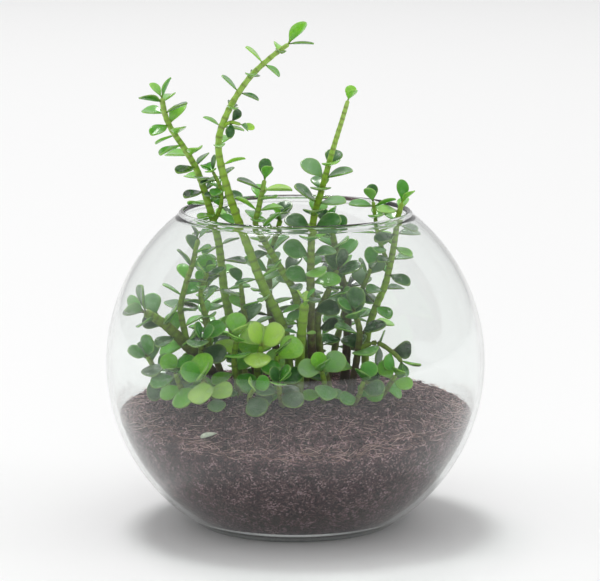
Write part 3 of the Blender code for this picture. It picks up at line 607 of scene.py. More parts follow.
@dataclass
class PottingSoil:
    """The heap of soil: a mound with lumps and crumbs, loose grains on top and coir strands."""

    bowl: GlassBowl
    front: float = 0.063
    side: float = 0.073
    back: float = 0.077
    crown: float = 0.084
    gap: float = 0.0004
    lump: float = 0.026
    lump_height: float = 0.0035
    lump_fade: float = 6.0       # the higher, the closer to the glass the lumps reach
    mound_fall: float = 2.2
    hollow_depth: float = 0.004
    hollow_place: tuple[float, float] = (-0.035, -0.068)
    hollow_spread: tuple[float, float] = (0.0012, 0.0005)
    crumble_mm: Triple = (6.5, 2.8, 1.3)      # coarse, middle and fine crumbs
    crumble_rise_mm: Triple = (1.5, 1.3, 0.55)
    bed: float = 0.0045          # from the glass floor up to the soil's underside
    ring_spread: float = 0.85    # under 1, rings are closer together at the glass
    pit_mm: float = 2.2
    pit_depth_mm: float = 0.9
    pit_reach: float = 0.12
    crumb_mm: float = 1.9        # the largest loose crumb's radius, before its stretch
    crumb_reach: float = 0.985
    crumb_stretch: tuple[tuple[float, float], ...] = ((0.7, 1.4), (0.6, 1.1), (0.5, 0.8))
    near_glass: float = 0.35     # share of the strands that lie along the glass
    strand_mm: tuple[float, float] = (4, 17)
    strand_thick_mm: tuple[float, float] = (0.09, 0.2)
    strand_lift_mm: tuple[float, float] = (0.1, 0.7)
    strand_cock_mm: float = 3.2  # how high a strand's end can stand
    strand_curl: float = 90.0    # radians of turn in a metre
    strand_steps: int = 8
    rings: int = 96
    segments: int = 300
    wall_rows: int = 34
    crumbs: int = 2200
    strands: int = 1700
    seed: int = 5
    soil: Finish = field(default_factory=CoirSoil)
    fibre: Finish = field(default_factory=CoirFibre)

    def edge(self, angle: float) -> float:
        """Height of the soil line on the glass, in a direction around the axis.

        Args:
            angle: The direction, in radians from +X.

        Returns:
            The height.
        """
        facing = -math.sin(angle)
        far = self.front if facing > 0 else self.back
        return self.side + (far - self.side) * facing ** 2

    def height(self, x: float, y: float) -> float:
        """Height of the soil's top, before its crumbs.

        Args:
            x: Place across the bowl.
            y: Place from front to back.

        Returns:
            The height.
        """
        edge = self.edge(math.atan2(y, x))
        share = min(math.hypot(x, y) / self.bowl.inside(edge), 1.0)
        mound = (self.crown - edge) * (1 - share ** self.mound_fall)
        hollow = self.hollow_depth * math.exp(
            -((x - self.hollow_place[0]) ** 2) / self.hollow_spread[0]
            - ((y - self.hollow_place[1]) ** 2) / self.hollow_spread[1])
        lump = self.lump_height * noise.noise(Vector((x / self.lump, y / self.lump, 0.7)))
        lump *= 1 - share ** self.lump_fade
        return edge + mound - hollow + lump

    def crumble(self, x: float, y: float, share: float) -> float:
        """How far crumbs raise the top: coarse ones, then finer ones, fewer at the glass.

        Args:
            x: Place across the bowl.
            y: Place from front to back.
            share: How far out it is: 1 at the glass.

        Returns:
            The rise, in metres.
        """
        coarse, middle, fine = (noise.noise(Vector((x, y, layer)) / (size * MM))
                                for layer, size in zip((3.1, 7.7, 1.3), self.crumble_mm))
        coarse_rise, middle_rise, fine_rise = self.crumble_rise_mm
        rise = coarse_rise * abs(coarse) + middle_rise * middle + fine_rise * fine
        return rise * MM * (1 - 0.55 * share ** 8)

    def build_heap(self) -> bpy.types.Object:
        """The top, the side against the glass and the underside, as one closed body.

        Returns:
            The bare heap.
        """
        points: Points = []
        faces: Faces = []
        rows = []
        for ring in range(1, self.rings + 1):
            share = (ring / self.rings) ** self.ring_spread
            rows.append(len(points))
            for step in range(self.segments):
                angle = 2 * math.pi * step / self.segments
                edge = self.edge(angle)
                reach = (self.bowl.inside(edge) - self.gap) * share
                x = reach * math.cos(angle)
                y = reach * math.sin(angle)
                top = self.height(x, y) + self.crumble(x, y, share)
                if ring == self.rings:
                    reach = self.bowl.inside(top) - self.gap
                    x = reach * math.cos(angle)
                    y = reach * math.sin(angle)
                points.append(Vector((x, y, top)))
        low = self.bowl.floor + self.bed
        for row in range(1, self.wall_rows + 1):
            share = 1 - row / self.wall_rows
            rows.append(len(points))
            for step in range(self.segments):
                angle = 2 * math.pi * step / self.segments
                top = points[rows[self.rings - 1] + step].z
                height = low + (top - low) * share
                # Grains leave small hollows against the glass.
                spot = Vector((math.cos(angle) * self.pit_reach, math.sin(angle) * self.pit_reach, height))
                pit = max(0.0, noise.noise(spot / (self.pit_mm * MM))) * self.pit_depth_mm * MM
                reach = self.bowl.inside(height) - self.gap - pit
                points.append(Vector((reach * math.cos(angle), reach * math.sin(angle), height)))
        for upper, lower in zip(rows, rows[1:]):
            for step in range(self.segments):
                after = (step + 1) % self.segments
                faces.append((upper + step, upper + after, lower + after, lower + step))
        faces.append(tuple(rows[0] + step for step in reversed(range(self.segments))))
        faces.append(tuple(rows[-1] + step for step in range(self.segments)))
        return mesh_piece("soil_heap", points, faces)

    def spot(self, chance: random.Random, outer: float) -> tuple[float, float]:
        """A random place on the soil's top.

        Args:
            chance: The source of random numbers.
            outer: Most share of the way to the glass.

        Returns:
            Its x and y.
        """
        angle = chance.uniform(0, 2 * math.pi)
        reach = (self.bowl.inside(self.edge(angle)) - 2 * MM) * outer * math.sqrt(chance.random())
        return reach * math.cos(angle), reach * math.sin(angle)

    def build_crumbs(self) -> bpy.types.Object:
        """Loose grains and small lumps that lie on the top.

        Returns:
            The grains, as one piece.
        """
        chance = random.Random(self.seed)
        shell = bmesh.new()
        bmesh.ops.create_icosphere(shell, subdivisions=2, radius=1.0)
        ball = np.array([vert.co for vert in shell.verts])
        corners = np.array([[vert.index for vert in face.verts] for face in shell.faces])
        shell.free()
        points = []
        tones = []
        faces: Faces = []
        for number in range(self.crumbs):
            x, y = self.spot(chance, self.crumb_reach)
            size = chance.uniform(0.45, 1.0) ** 2 * self.crumb_mm * MM
            stretch = np.array([chance.uniform(*span) for span in self.crumb_stretch])
            dents = np.array([noise.noise(Vector(point) * 1.7 + Vector((number, 0, 0))) for point in ball])
            lump = ball * (1 + 0.5 * dents)[:, None] * stretch * size
            turn = np.array(Matrix.Rotation(chance.uniform(0, 6.28), 3, "Z")
                            @ Matrix.Rotation(chance.uniform(-0.6, 0.6), 3, "X"))
            share = min(math.hypot(x, y) / self.bowl.inside(self.height(x, y)), 1.0)
            rise = self.height(x, y) + self.crumble(x, y, share) + size * 0.2
            faces.extend(tuple(int(c) + number * len(ball) for c in corner) for corner in corners)
            points.append(lump @ turn.T + np.array([x, y, rise]))
            tones.extend([0.5 * chance.random() ** 3 - 0.12] * len(ball))
        piece = mesh_piece("soil_crumbs", np.concatenate(points), faces)
        paint_values(piece, {"tone": np.array(tones)})
        return piece

    def strand(self, chance: random.Random) -> tuple[Points, float]:
        """One strand of coir: a slack curve on the soil, thickest in its middle.

        Args:
            chance: The source of random numbers.

        Returns:
            The points of its rings, three to a ring, and its tone.
        """
        near_glass = chance.random() < self.near_glass
        x, y = self.spot(chance, 1.0)
        if near_glass:
            angle = chance.uniform(0, 2 * math.pi)
            reach = self.bowl.inside(self.edge(angle)) - chance.uniform(2, 14) * MM
            x, y = reach * math.cos(angle), reach * math.sin(angle)
        heading = chance.uniform(0, 2 * math.pi)
        if near_glass:
            heading = math.atan2(y, x) + math.pi / 2 + chance.uniform(-0.7, 0.7)
        curl = chance.uniform(-self.strand_curl, self.strand_curl)
        length = chance.uniform(*self.strand_mm) * MM
        lift = chance.uniform(*self.strand_lift_mm) * MM
        cock = chance.uniform(0.0, 1.0) ** 4 * self.strand_cock_mm * MM
        thick = chance.uniform(*self.strand_thick_mm) * MM
        points: Points = []
        for step in range(self.strand_steps):
            share = step / (self.strand_steps - 1)
            turn = heading + curl * length * share
            x += math.cos(turn) * length / self.strand_steps
            y += math.sin(turn) * length / self.strand_steps
            rise = self.height(x, y) + lift + 0.8 * MM + cock * share ** 2
            limit = self.bowl.inside(rise) - 0.8 * MM
            reach = math.hypot(x, y)
            scale = min(1.0, limit / max(reach, 1e-6))
            size = thick * (0.45 + 0.55 * math.sin(math.pi * min(share + 0.05, 1.0)))
            centre = Vector((x * scale, y * scale, rise))
            side = Vector((-math.sin(turn), math.cos(turn), 0.0))
            for corner in range(3):
                angle = 2 * math.pi * corner / 3
                points.append(centre + side * math.cos(angle) * size
                              + Vector((0, 0, math.sin(angle) * size)))
        return points, chance.random()

    def build_strands(self) -> bpy.types.Object:
        """Every loose strand, as one piece.

        Returns:
            The strands.
        """
        chance = random.Random(self.seed + 1)
        points: Points = []
        faces: Faces = []
        tones: list[float] = []
        for _ in range(self.strands):
            line, tone = self.strand(chance)
            faces.extend(tube_faces(len(line) // 3, 3, len(points)))
            points.extend(line)
            tones.extend([tone] * len(line))
        piece = mesh_piece("coir_strands", points, faces)
        paint_values(piece, {"tone": np.array(tones)})
        return piece

    def build(self) -> list[bpy.types.Object]:
        """Build and dress the heap, its grains and its strands.

        Returns:
            The three pieces.
        """
        pieces = [self.build_heap(), self.build_crumbs(), self.build_strands()]
        for piece, finish in zip(pieces, (self.soil, self.soil, self.fibre)):
            piece.data.materials.append(finish.material())
            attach(piece, "root")
        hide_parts("potting_soil")
        return pieces


# ---------------------------------------------------------------- how a shoot grows

@dataclass
class Growth:
    """How leaves sit along a stem: sizes in millimetres, angles in degrees."""

    first: float = 12.0
    gap: float = 13.0
    gap_top: float = 7.0
    size: float = 16.0
    size_top: float = 11.0
    pitch: float = 78.0
    pitch_top: float = 38.0
    turn: float = 0.0
    broad: float = 0.78
    tip: float = 0.8
    missing: float = 0.06
    bare: tuple[float, float] = (0.0, 0.0)
    light: Triple = (0.0, -0.8, 0.6)
    seed: int = 1


@dataclass
class Branch:
    """A side branch: its route from its stem, in millimetres."""

    route: tuple[Triple, ...]
    radius: float
    radius_top: float
    growth: Growth


@dataclass
class Shoot:
    """A rooted shoot: its route from the soil to its tip, in millimetres."""

    name: str
    route: tuple[Triple, ...]
    radius: float
    radius_top: float
    growth: Growth
    branches: tuple[Branch, ...] = ()
    slot: Slot = Slot.LEAF


REAR_LIGHT = (0.0, 0.6, 0.8)
TOP_LIGHT = (0.0, -0.25, 0.9)

SHOOTS = (
    Shoot("tallest_shoot", (
        (-3, 4, 84), (-8, 0, 127), (-21, -3, 156), (-32, -6, 186), (-44, -8, 221), (-50, -9, 250),
        (-44, -10, 272), (-31, -11, 293), (-17, -12, 307), (-4, -14, 317)), 3.6, 1.5,
        Growth(first=40, gap=14, gap_top=12, size=15, size_top=13, pitch_top=74, turn=90, broad=0.6,
               tip=1.25, missing=0.04, bare=(84, 156), light=TOP_LIGHT, seed=3),
        (Branch(((-48, -9, 262), (-42, -13, 266), (-35, -17, 265)), 1.3, 1.0,
                Growth(first=9, gap=7, gap_top=6, size=11, size_top=12, turn=70, broad=0.55, seed=5)),)),
    Shoot("tall_left_shoot", (
        (-38, 16, 84), (-40, 14, 114), (-47, 12, 150), (-51, 10, 185), (-58, 8, 212), (-64, 6, 231),
        (-72, 4, 246), (-81, 2, 260), (-85, 0, 270), (-87, 0, 281)), 3.2, 1.6,
        Growth(first=36, gap=11, gap_top=7.5, size=16, size_top=15, pitch=84, pitch_top=68, turn=50,
               broad=0.66, missing=0.03, light=TOP_LIGHT, seed=7),
        (Branch(((-54, 9, 197), (-49, 4, 209), (-49, 0, 221), (-54, -3, 233)), 1.4, 1.0,
                Growth(first=6, gap=7, gap_top=6, size=13, size_top=12, pitch=84, pitch_top=62, turn=20,
                       broad=0.7, missing=0.0, light=TOP_LIGHT, seed=137)),)),
    Shoot("right_middle_shoot", (
        (13, 8, 84), (11, 3, 112), (10, 0, 146), (11, -5, 195), (17, -8, 221), (24, -12, 247),
        (30, -14, 267), (34, -16, 281)), 3.4, 1.3,
        Growth(first=56, gap=9.5, gap_top=8, size=17, size_top=16, turn=0, broad=0.84, tip=0.55,
               missing=0.0, bare=(162, 198), seed=11)),
    Shoot("far_right_shoot", (
        (48, 26, 84), (47, 25, 108), (51, 22, 131), (60, 18, 155), (65, 11, 181), (67, 5, 199),
        (70, 2, 212)), 2.9, 1.6,
        Growth(first=44, gap=13, gap_top=7, size=15, size_top=16, pitch_top=74, turn=35, broad=0.62,
               missing=0.03, light=TOP_LIGHT, seed=13),
        (Branch(((62, 15, 168), (55, 10, 187), (51, 8, 212)), 1.5, 1.1,
                Growth(first=14, gap=10, gap_top=8, size=14, size_top=15, pitch_top=60, turn=80, broad=0.7,
                       missing=0.0, light=TOP_LIGHT, seed=17)),)),
    Shoot("middle_shoot", (
        (8, 21, 84), (5, 13, 118), (0, 6, 149), (-7, 3, 163), (-19, -1, 184), (-26, -3, 197),
        (-24, -4, 209), (-20, -6, 228)), 3.2, 1.5,
        Growth(first=46, gap=10, gap_top=6.5, size=16, size_top=16, pitch=84, pitch_top=60, turn=15,
               broad=0.64, missing=0.03, light=TOP_LIGHT, seed=19)),
    Shoot("cut_front_stem", (
        (2, -10, 84), (3, -14, 112), (4, -18, 128), (6, -22, 149)), 3.3, 2.9,
        Growth(first=44, gap=18, gap_top=12, size=9, size_top=11, turn=10, broad=0.36, missing=0.0,
               seed=23), slot=Slot.BARK),
    Shoot("woody_left_shoot", (
        (-51, 0, 84), (-55, -4, 98), (-63, -8, 109), (-73, -13, 121), (-85, -19, 134), (-98, -22, 143)),
        4.7, 2.6,
        Growth(first=30, gap=12, gap_top=7, size=18, size_top=17, turn=60, broad=0.8, missing=0.0, seed=29),
        (Branch(((-70, -12, 117), (-75, -13, 142), (-72, -15, 158), (-67, -16, 173), (-63, -18, 190)),
                2.1, 1.4, Growth(first=14, gap=11, gap_top=9, size=15, size_top=14, turn=30, broad=0.66,
                                 missing=0.0, light=TOP_LIGHT, seed=31)),
         Branch(((-58, -6, 103), (-57, -9, 130), (-62, -12, 152), (-57, -16, 168)), 2.0, 1.3,
                Growth(first=12, gap=11, gap_top=9, size=15, size_top=13, turn=100, broad=0.66,
                       missing=0.0, light=TOP_LIGHT, seed=37)),
         Branch(((-63, -8, 109), (-62, -18, 115), (-61, -26, 126)), 1.9, 1.4,
                Growth(first=7, gap=9, gap_top=7, size=16, size_top=17, pitch=86, pitch_top=60, turn=65,
                       missing=0.0, broad=0.9, seed=131)))),
    Shoot("right_rear_shoot", (
        (33, 31, 84), (35, 30, 121), (33, 28, 148), (30, 26, 162), (27, 24, 177), (23, 22, 194)), 3.5, 1.8,
        Growth(first=44, gap=11, gap_top=8, size=17, size_top=16, turn=40, missing=0.0, seed=41),
        (Branch(((35, 29, 136), (44, 20, 150), (50, 14, 166)), 1.9, 1.3,
                Growth(first=9, gap=12, gap_top=8, size=17, size_top=16, turn=20, seed=43)),)),
    Shoot("front_rosette", (
        (-24, -8, 83), (-25, -18, 104), (-22, -28, 122)), 2.6, 1.8,
        Growth(first=18, gap=11, gap_top=8, size=18, size_top=22, pitch=88, pitch_top=66, turn=75,
               missing=0.0, broad=0.94, seed=47)),
    Shoot("lime_rosette", (
        (-36, -12, 83), (-40, -20, 108), (-38, -25, 127)), 2.4, 1.6,
        Growth(first=20, gap=12, gap_top=8, size=18, size_top=19, pitch=86, pitch_top=60, turn=20,
               missing=0.0, broad=0.94, seed=53)),
    Shoot("centre_cluster_shoot", (
        (-10, -14, 83), (-12, -24, 101), (-12, -30, 116)), 2.4, 1.6,
        Growth(first=14, gap=10, gap_top=8, size=17, size_top=18, pitch=86, pitch_top=60, turn=50,
               missing=0.0, broad=0.94, seed=57)),
    Shoot("right_cluster_shoot", (
        (36, -2, 84), (40, -6, 106), (42, -11, 128), (38, -14, 142)), 2.8, 1.7,
        Growth(first=18, gap=13, gap_top=9, size=18, size_top=18, pitch=84, turn=5, missing=0.0,
               broad=0.94, seed=59),
        (Branch(((41, -8, 116), (53, -9, 120), (64, -12, 114), (70, -14, 108)), 1.7, 1.3,
                Growth(first=14, gap=10, gap_top=8, size=14, size_top=14, turn=50, seed=61)),)),
    Shoot("left_edge_shoot", (
        (-76, 2, 80), (-88, -10, 96), (-97, -19, 113)), 2.2, 1.5,
        Growth(first=12, gap=9, gap_top=7, size=16, size_top=17, pitch=88, pitch_top=60, turn=10,
               broad=0.94, seed=63)),
    Shoot("low_left_shoot", (
        (-66, -14, 81), (-74, -24, 92), (-78, -31, 104)), 2.2, 1.5,
        Growth(first=9, gap=10, gap_top=8, size=17, size_top=17, pitch=90, pitch_top=60, turn=30,
               broad=0.94, seed=67)),
    Shoot("low_bright_shoot", (
        (-50, -22, 81), (-55, -32, 92), (-60, -40, 102)), 2.2, 1.5,
        Growth(first=9, gap=10, gap_top=8, size=17, size_top=21, pitch=90, pitch_top=66, turn=75,
               broad=0.94, seed=71)),
    Shoot("low_front_shoot", (
        (-28, -30, 79), (-30, -40, 89), (-27, -47, 97)), 2.0, 1.4,
        Growth(first=8, gap=9, gap_top=7, size=15, size_top=16, pitch=88, pitch_top=60, turn=20,
               broad=0.94, seed=73)),
    Shoot("low_centre_shoot", (
        (-8, -30, 80), (-10, -40, 91), (-11, -46, 101)), 2.2, 1.5,
        Growth(first=8, gap=9, gap_top=7, size=15, size_top=16, pitch=88, pitch_top=60, turn=65,
               broad=0.94, seed=79)),
    Shoot("low_right_shoot", (
        (18, -20, 81), (19, -28, 95), (17, -33, 106)), 2.2, 1.5,
        Growth(first=8, gap=10, gap_top=8, size=15, size_top=16, pitch=88, pitch_top=60, turn=15,
               broad=0.94, seed=83)),
    Shoot("low_right_front_shoot", (
        (38, -24, 81), (42, -31, 91), (44, -35, 100)), 2.0, 1.4,
        Growth(first=8, gap=9, gap_top=7, size=14, size_top=15, pitch=84, pitch_top=55, turn=60,
               broad=0.94, seed=85)),
    Shoot("right_edge_shoot", (
        (56, -8, 82), (62, -13, 93), (66, -17, 100)), 2.0, 1.4,
        Growth(first=8, gap=9, gap_top=7, size=14, size_top=15, pitch=84, pitch_top=55, turn=40,
               broad=0.94, seed=89)),
    Shoot("olive_middle_shoot", (
        (22, 18, 84), (16, 14, 112), (15, 11, 134), (22, 9, 152), (28, 8, 166)), 3.1, 1.7,
        Growth(first=30, gap=12, gap_top=8, size=16, size_top=16, turn=60, missing=0.0, seed=97)),
    Shoot("inner_left_shoot", (
        (-24, 14, 84), (-30, 10, 112), (-34, 4, 138), (-36, 0, 158)), 2.6, 1.5,
        Growth(first=24, gap=12, gap_top=8, size=16, size_top=15, turn=45, missing=0.0, seed=101)),
    Shoot("rear_left_shoot", (
        (-48, 34, 82), (-56, 38, 108), (-62, 36, 134), (-60, 32, 156)), 2.8, 1.6,
        Growth(first=24, gap=16, gap_top=10, size=18, size_top=16, turn=10, light=REAR_LIGHT, seed=103)),
    Shoot("rear_middle_shoot", (
        (-12, 40, 84), (-14, 47, 112), (-18, 46, 140), (-16, 40, 172), (-10, 34, 196)), 3.0, 1.6,
        Growth(first=28, gap=17, gap_top=11, size=18, size_top=16, turn=70, light=REAR_LIGHT, seed=107)),
    Shoot("rear_right_shoot", (
        (22, 48, 83), (28, 57, 108), (34, 58, 134), (32, 52, 156)), 2.7, 1.5,
        Growth(first=24, gap=16, gap_top=10, size=18, size_top=16, turn=25, light=REAR_LIGHT, seed=109)),
    Shoot("low_rear_left_shoot", (
        (-32, 54, 81), (-38, 64, 94), (-42, 70, 106)), 2.3, 1.5,
        Growth(first=10, gap=11, gap_top=8, size=17, size_top=17, pitch=86, pitch_top=58, turn=55,
               light=REAR_LIGHT, seed=113)),
    Shoot("low_rear_right_shoot", (
        (14, 68, 81), (17, 76, 94), (18, 82, 106)), 2.2, 1.5,
        Growth(first=10, gap=11, gap_top=8, size=17, size_top=17, pitch=86, pitch_top=58, turn=15,
               light=REAR_LIGHT, seed=127)),
)

# How old each shoot's stem looks at its foot and tip (0 is lime, 1 is bark), and its leaves' tone.
AGES: dict[str, tuple[float, float, float]] = {
    "tallest_shoot": (0.50, 0.02, 0.52),
    "tall_left_shoot": (0.52, 0.06, 0.45),
    "right_middle_shoot": (1.00, 0.02, 0.50),
    "far_right_shoot": (0.50, 0.15, 0.55),
    "middle_shoot": (0.75, 0.05, 0.52),
    "cut_front_stem": (0.42, 0.28, 0.75),
    "woody_left_shoot": (1.10, 0.35, 0.42),
    "right_rear_shoot": (1.00, 0.40, 0.34),
    "front_rosette": (0.80, 0.25, 0.72),
    "lime_rosette": (0.70, 0.25, 0.76),
    "centre_cluster_shoot": (0.90, 0.35, 0.46),
    "right_cluster_shoot": (1.05, 0.50, 0.42),
    "low_bright_shoot": (0.90, 0.40, 0.70),
    "olive_middle_shoot": (0.72, 0.45, 0.38),
}
USUAL_AGE = (0.95, 0.35, 0.48)
BRANCH_AGE = 0.45

# Turn, pitch (degrees) and size tried for a leaf until it is clear of everything.
TRIES = (
    (0, 0, 1.0), (0, -12, 0.96), (24, 0, 0.94), (-24, 0, 0.94), (0, 16, 0.9), (42, -14, 0.86),
    (-42, -14, 0.86), (0, -26, 0.82), (30, 20, 0.78), (-30, 20, 0.78), (0, 0, 0.66),
)


class StemLine:
    """A smooth curve through a route, with places and directions along it."""

    step = 0.0015

    def __init__(self, route: tuple[Triple, ...] | list[Vector]) -> None:
        """Lay the curve through its route.

        Args:
            route: Points in millimetres.
        """
        knots = [Vector(point) * MM for point in route]
        knots = [knots[0] * 2 - knots[1]] + knots + [knots[-1] * 2 - knots[-2]]
        self.points: Points = []
        for a, b, c, d in zip(knots, knots[1:], knots[2:], knots[3:]):
            count = max(2, round((c - b).length / self.step))
            for number in range(count):
                t = number / count
                self.points.append(0.5 * ((2 * b) + (c - a) * t + (2 * a - 5 * b + 4 * c - d) * t * t
                                          + (3 * b - a - 3 * c + d) * t * t * t))
        self.points.append(knots[-2])
        self.lengths = [0.0]
        for a, b in zip(self.points, self.points[1:]):
            self.lengths.append(self.lengths[-1] + (b - a).length)

    @property
    def length(self) -> float:
        """The whole curve's length."""
        return self.lengths[-1]

    def at(self, distance: float) -> tuple[Vector, Vector]:
        """Place and direction at a distance from the start.

        Args:
            distance: Metres along the curve.

        Returns:
            A point and a unit vector.
        """
        last = len(self.points) - 1
        index = next((i for i in range(1, last) if self.lengths[i] >= distance), last)
        span = self.lengths[index] - self.lengths[index - 1]
        share = min(max((distance - self.lengths[index - 1]) / span, 0.0), 1.0)
        low = self.points[max(index - 3, 0)]
        high = self.points[min(index + 2, last)]
        return self.points[index - 1].lerp(self.points[index], share), (high - low).normalized()


def around(direction: Vector, degrees: float) -> Vector:
    """A unit vector square to a direction, turned about it; zero faces +X.

    Args:
        direction: What it is square to.
        degrees: Its turn about the direction.

    Returns:
        The unit vector.
    """
    side = Vector((1, 0, 0)) - direction * direction.x
    if side.length < 0.2:
        side = Vector((0, -1, 0)) + direction * direction.y
    side.normalize()
    return Matrix.Rotation(math.radians(degrees), 3, direction) @ side


@dataclass
class Blade:
    """One leaf: its foot in the stem, its three directions and its sizes in metres."""

    foot: Vector
    along: Vector
    across: Vector
    face: Vector
    stem: float
    length: float
    broad: float
    share: float = 0.0           # how far up its stem it grows

    thickness = 0.13
    droop = 0.17
    widest = 0.6
    body_steps = 8
    tip_steps = 9
    sides = 20
    cup_range = (0.03, 0.12)     # how far the margins stand up, as a share of the length
    lean_range = (-0.05, 0.05)
    plump_range = (0.9, 1.15)
    fullness = 0.8               # under 1, the section is fuller than an ellipse
    crease_depth = 0.16
    crease_width = 0.16
    blush_reach = 0.16           # share of the length that the foot's blush takes

    @classmethod
    def grown(cls, place: Vector, direction: Vector, radius: float, turn: float, pitch: float,
              roll: float, light: Vector, length: float, broad: float) -> "Blade":
        """A leaf square to its stem, twisted towards the light.

        Args:
            place: Middle of the stem where it grows.
            direction: The stem's direction there.
            radius: The stem's radius there.
            turn: Its heading round the stem, in degrees.
            pitch: Angle between the stem and the leaf, in degrees.
            roll: Turn about its own length, in degrees.
            light: Where its face turns; the vector's length says how far.
            length: From the stem to its tip.
            broad: Its width for a length of 1.

        Returns:
            The leaf.
        """
        outward = around(direction, turn)
        angle = math.radians(pitch)
        along = direction * math.cos(angle) + outward * math.sin(angle)
        face = direction * math.sin(angle) - outward * math.cos(angle)
        face = face * (1 - light.length) + light - along * light.dot(along)
        face.normalize()
        face = Matrix.Rotation(math.radians(roll), 3, along) @ face
        return cls(place, along, along.cross(face), face, radius, length, broad)

    def middle(self, reach: float) -> Vector:
        """A point on the middle line, which bends back towards the tip."""
        share = max(reach - self.stem, 0.0) / self.length
        return self.foot + self.along * reach - self.face * (self.droop * self.length * share ** 2)

    def cage(self, grow: float, whole: bool = True) -> tuple[Points, Faces]:
        """Corner points and faces of a plain shape around the leaf, for keeping it clear.

        Args:
            grow: Air added around it.
            whole: Whether it starts inside the stem or where the blade starts.

        Returns:
            Points and faces.
        """
        length = self.length
        half = self.broad * length / 2
        thick = self.thickness * length / 2
        foot = (0.0, 0.05 * length, 0.05 * length, 0.0)
        if not whole:
            foot = (self.stem + 0.28 * length, half * 0.5 + grow, thick * 0.8 + grow, 0.0)
        stations = (
            foot,
            (self.stem + 0.45 * length, half * 0.86 + grow, thick + grow, 0.05 * length),
            (self.stem + 0.80 * length, half * 0.92 + grow, thick * 0.9 + grow, 0.05 * length),
        )
        points: Points = []
        for reach, wide, deep, cup in stations:
            middle = self.middle(reach)
            points.append(middle + self.across * wide + self.face * cup)
            points.append(middle + self.face * deep)
            points.append(middle - self.across * wide + self.face * cup)
            points.append(middle - self.face * deep)
        points.append(self.middle(self.stem + length + grow))
        faces: Faces = [(0, 1, 2, 3)]
        for base in (0, 4):
            for step in range(4):
                after = (step + 1) % 4
                faces.append((base + step, base + 4 + step, base + 4 + after, base + after))
        for step in range(4):
            faces.append((8 + step, 12, 8 + (step + 1) % 4))
        return points, faces

    def stations(self) -> list[tuple[float, float]]:
        """Shares of the length with the outline's width there: a short stalk, then a round blade.

        Returns:
            Pairs of share and width, from the foot to the tip.
        """
        rows = [(-self.stem * 0.6 / self.length, 0.15)]
        for step in range(self.body_steps):
            share = self.widest * step / self.body_steps
            grown = max(share / self.widest - 0.05, 0.0) / 0.95
            rows.append((share, 0.15 + 0.85 * math.sin(math.pi / 2 * grown) ** 1.2))
        for step in range(self.tip_steps + 1):
            angle = math.radians(87.5) * step / self.tip_steps
            rows.append((self.widest + (1 - self.widest) * math.sin(angle), math.cos(angle)))
        return rows

    def surface(self, chance: random.Random) -> tuple[Points, dict[str, list[float]]]:
        """Points of the real leaf: thick, cupped, creased along its middle, round at the margin.

        Args:
            chance: The source of the leaf's own small differences.

        Returns:
            The points, ring by ring, and the values that its finish reads.
        """
        half = self.broad * self.length / 2
        cup = chance.uniform(*self.cup_range)
        lean = chance.uniform(*self.lean_range)
        plump = chance.uniform(*self.plump_range)
        points: Points = []
        values: dict[str, list[float]] = {"rim": [], "foot": []}
        for share, outline in self.stations():
            wide = half * outline
            swell = 0.62 + 0.38 * math.sin(math.pi * min(max(share, 0.08), 0.92))
            thick = self.thickness * self.length / 2 * plump * swell * min(1.0, outline * 2.4) ** 0.6
            middle = self.middle(self.stem + share * self.length)
            middle = middle + self.across * (lean * self.length * max(share, 0.0) ** 2)
            for step in range(self.sides):
                angle = 2 * math.pi * step / self.sides
                side = math.cos(angle)
                up = math.copysign(abs(math.sin(angle)) ** self.fullness, math.sin(angle))
                crease = self.crease_depth * math.exp(-(side / self.crease_width) ** 2) * max(up, 0.0)
                rise = thick * (up - crease) + cup * self.length * outline * side * side
                points.append(middle + self.across * (wide * side) + self.face * rise)
                values["rim"].append(abs(side) ** 10 if 0.1 < share < 0.97 else 0.8 * (share > 0.5))
                values["foot"].append(max(0.0, 1 - max(share, 0.0) / self.blush_reach))
        return points, values


def split_quads(faces: Faces) -> Faces:
    """Every face as triangles."""
    return [(face[0], face[corner], face[corner + 1])
            for face in faces for corner in range(1, len(face) - 1)]


class Space:
    """What already stands in the bowl, for keeping new leaves clear of it."""

    def __init__(self) -> None:
        """Start with nothing."""
        self.shapes: list[tuple[str, Vector, Vector, BVHTree]] = []

    @staticmethod
    def corners(points: Points) -> tuple[Vector, Vector]:
        """Lowest and highest corner of some points.

        Args:
            points: The points.

        Returns:
            Both corners.
        """
        low = Vector([min(point[axis] for point in points) for axis in range(3)])
        high = Vector([max(point[axis] for point in points) for axis in range(3)])
        return low, high

    def add(self, owner: str, points: Points, faces: Faces) -> None:
        """Remember a shape and the piece that it is part of.

        Args:
            owner: The piece's name.
            points: The shape's points.
            faces: The shape's faces.
        """
        low, high = self.corners(points)
        tree = BVHTree.FromPolygons([tuple(point) for point in points], split_quads(faces))
        self.shapes.append((owner, low, high, tree))

    def is_clear(self, points: Points, faces: Faces, but: str | None = None) -> bool:
        """True where a shape touches nothing that is remembered, but for one owner's.

        Args:
            points: The shape's points.
            faces: The shape's faces.
            but: An owner whose shapes are left out.

        Returns:
            Whether it is clear.
        """
        low, high = self.corners(points)
        tree = None
        for owner, other_low, other_high, other in self.shapes:
            if owner == but:
                continue
            if any(low[axis] > other_high[axis] or high[axis] < other_low[axis] for axis in range(3)):
                continue
            tree = tree or BVHTree.FromPolygons([tuple(point) for point in points], split_quads(faces))
            if tree.overlap(other):
                return False
        return True


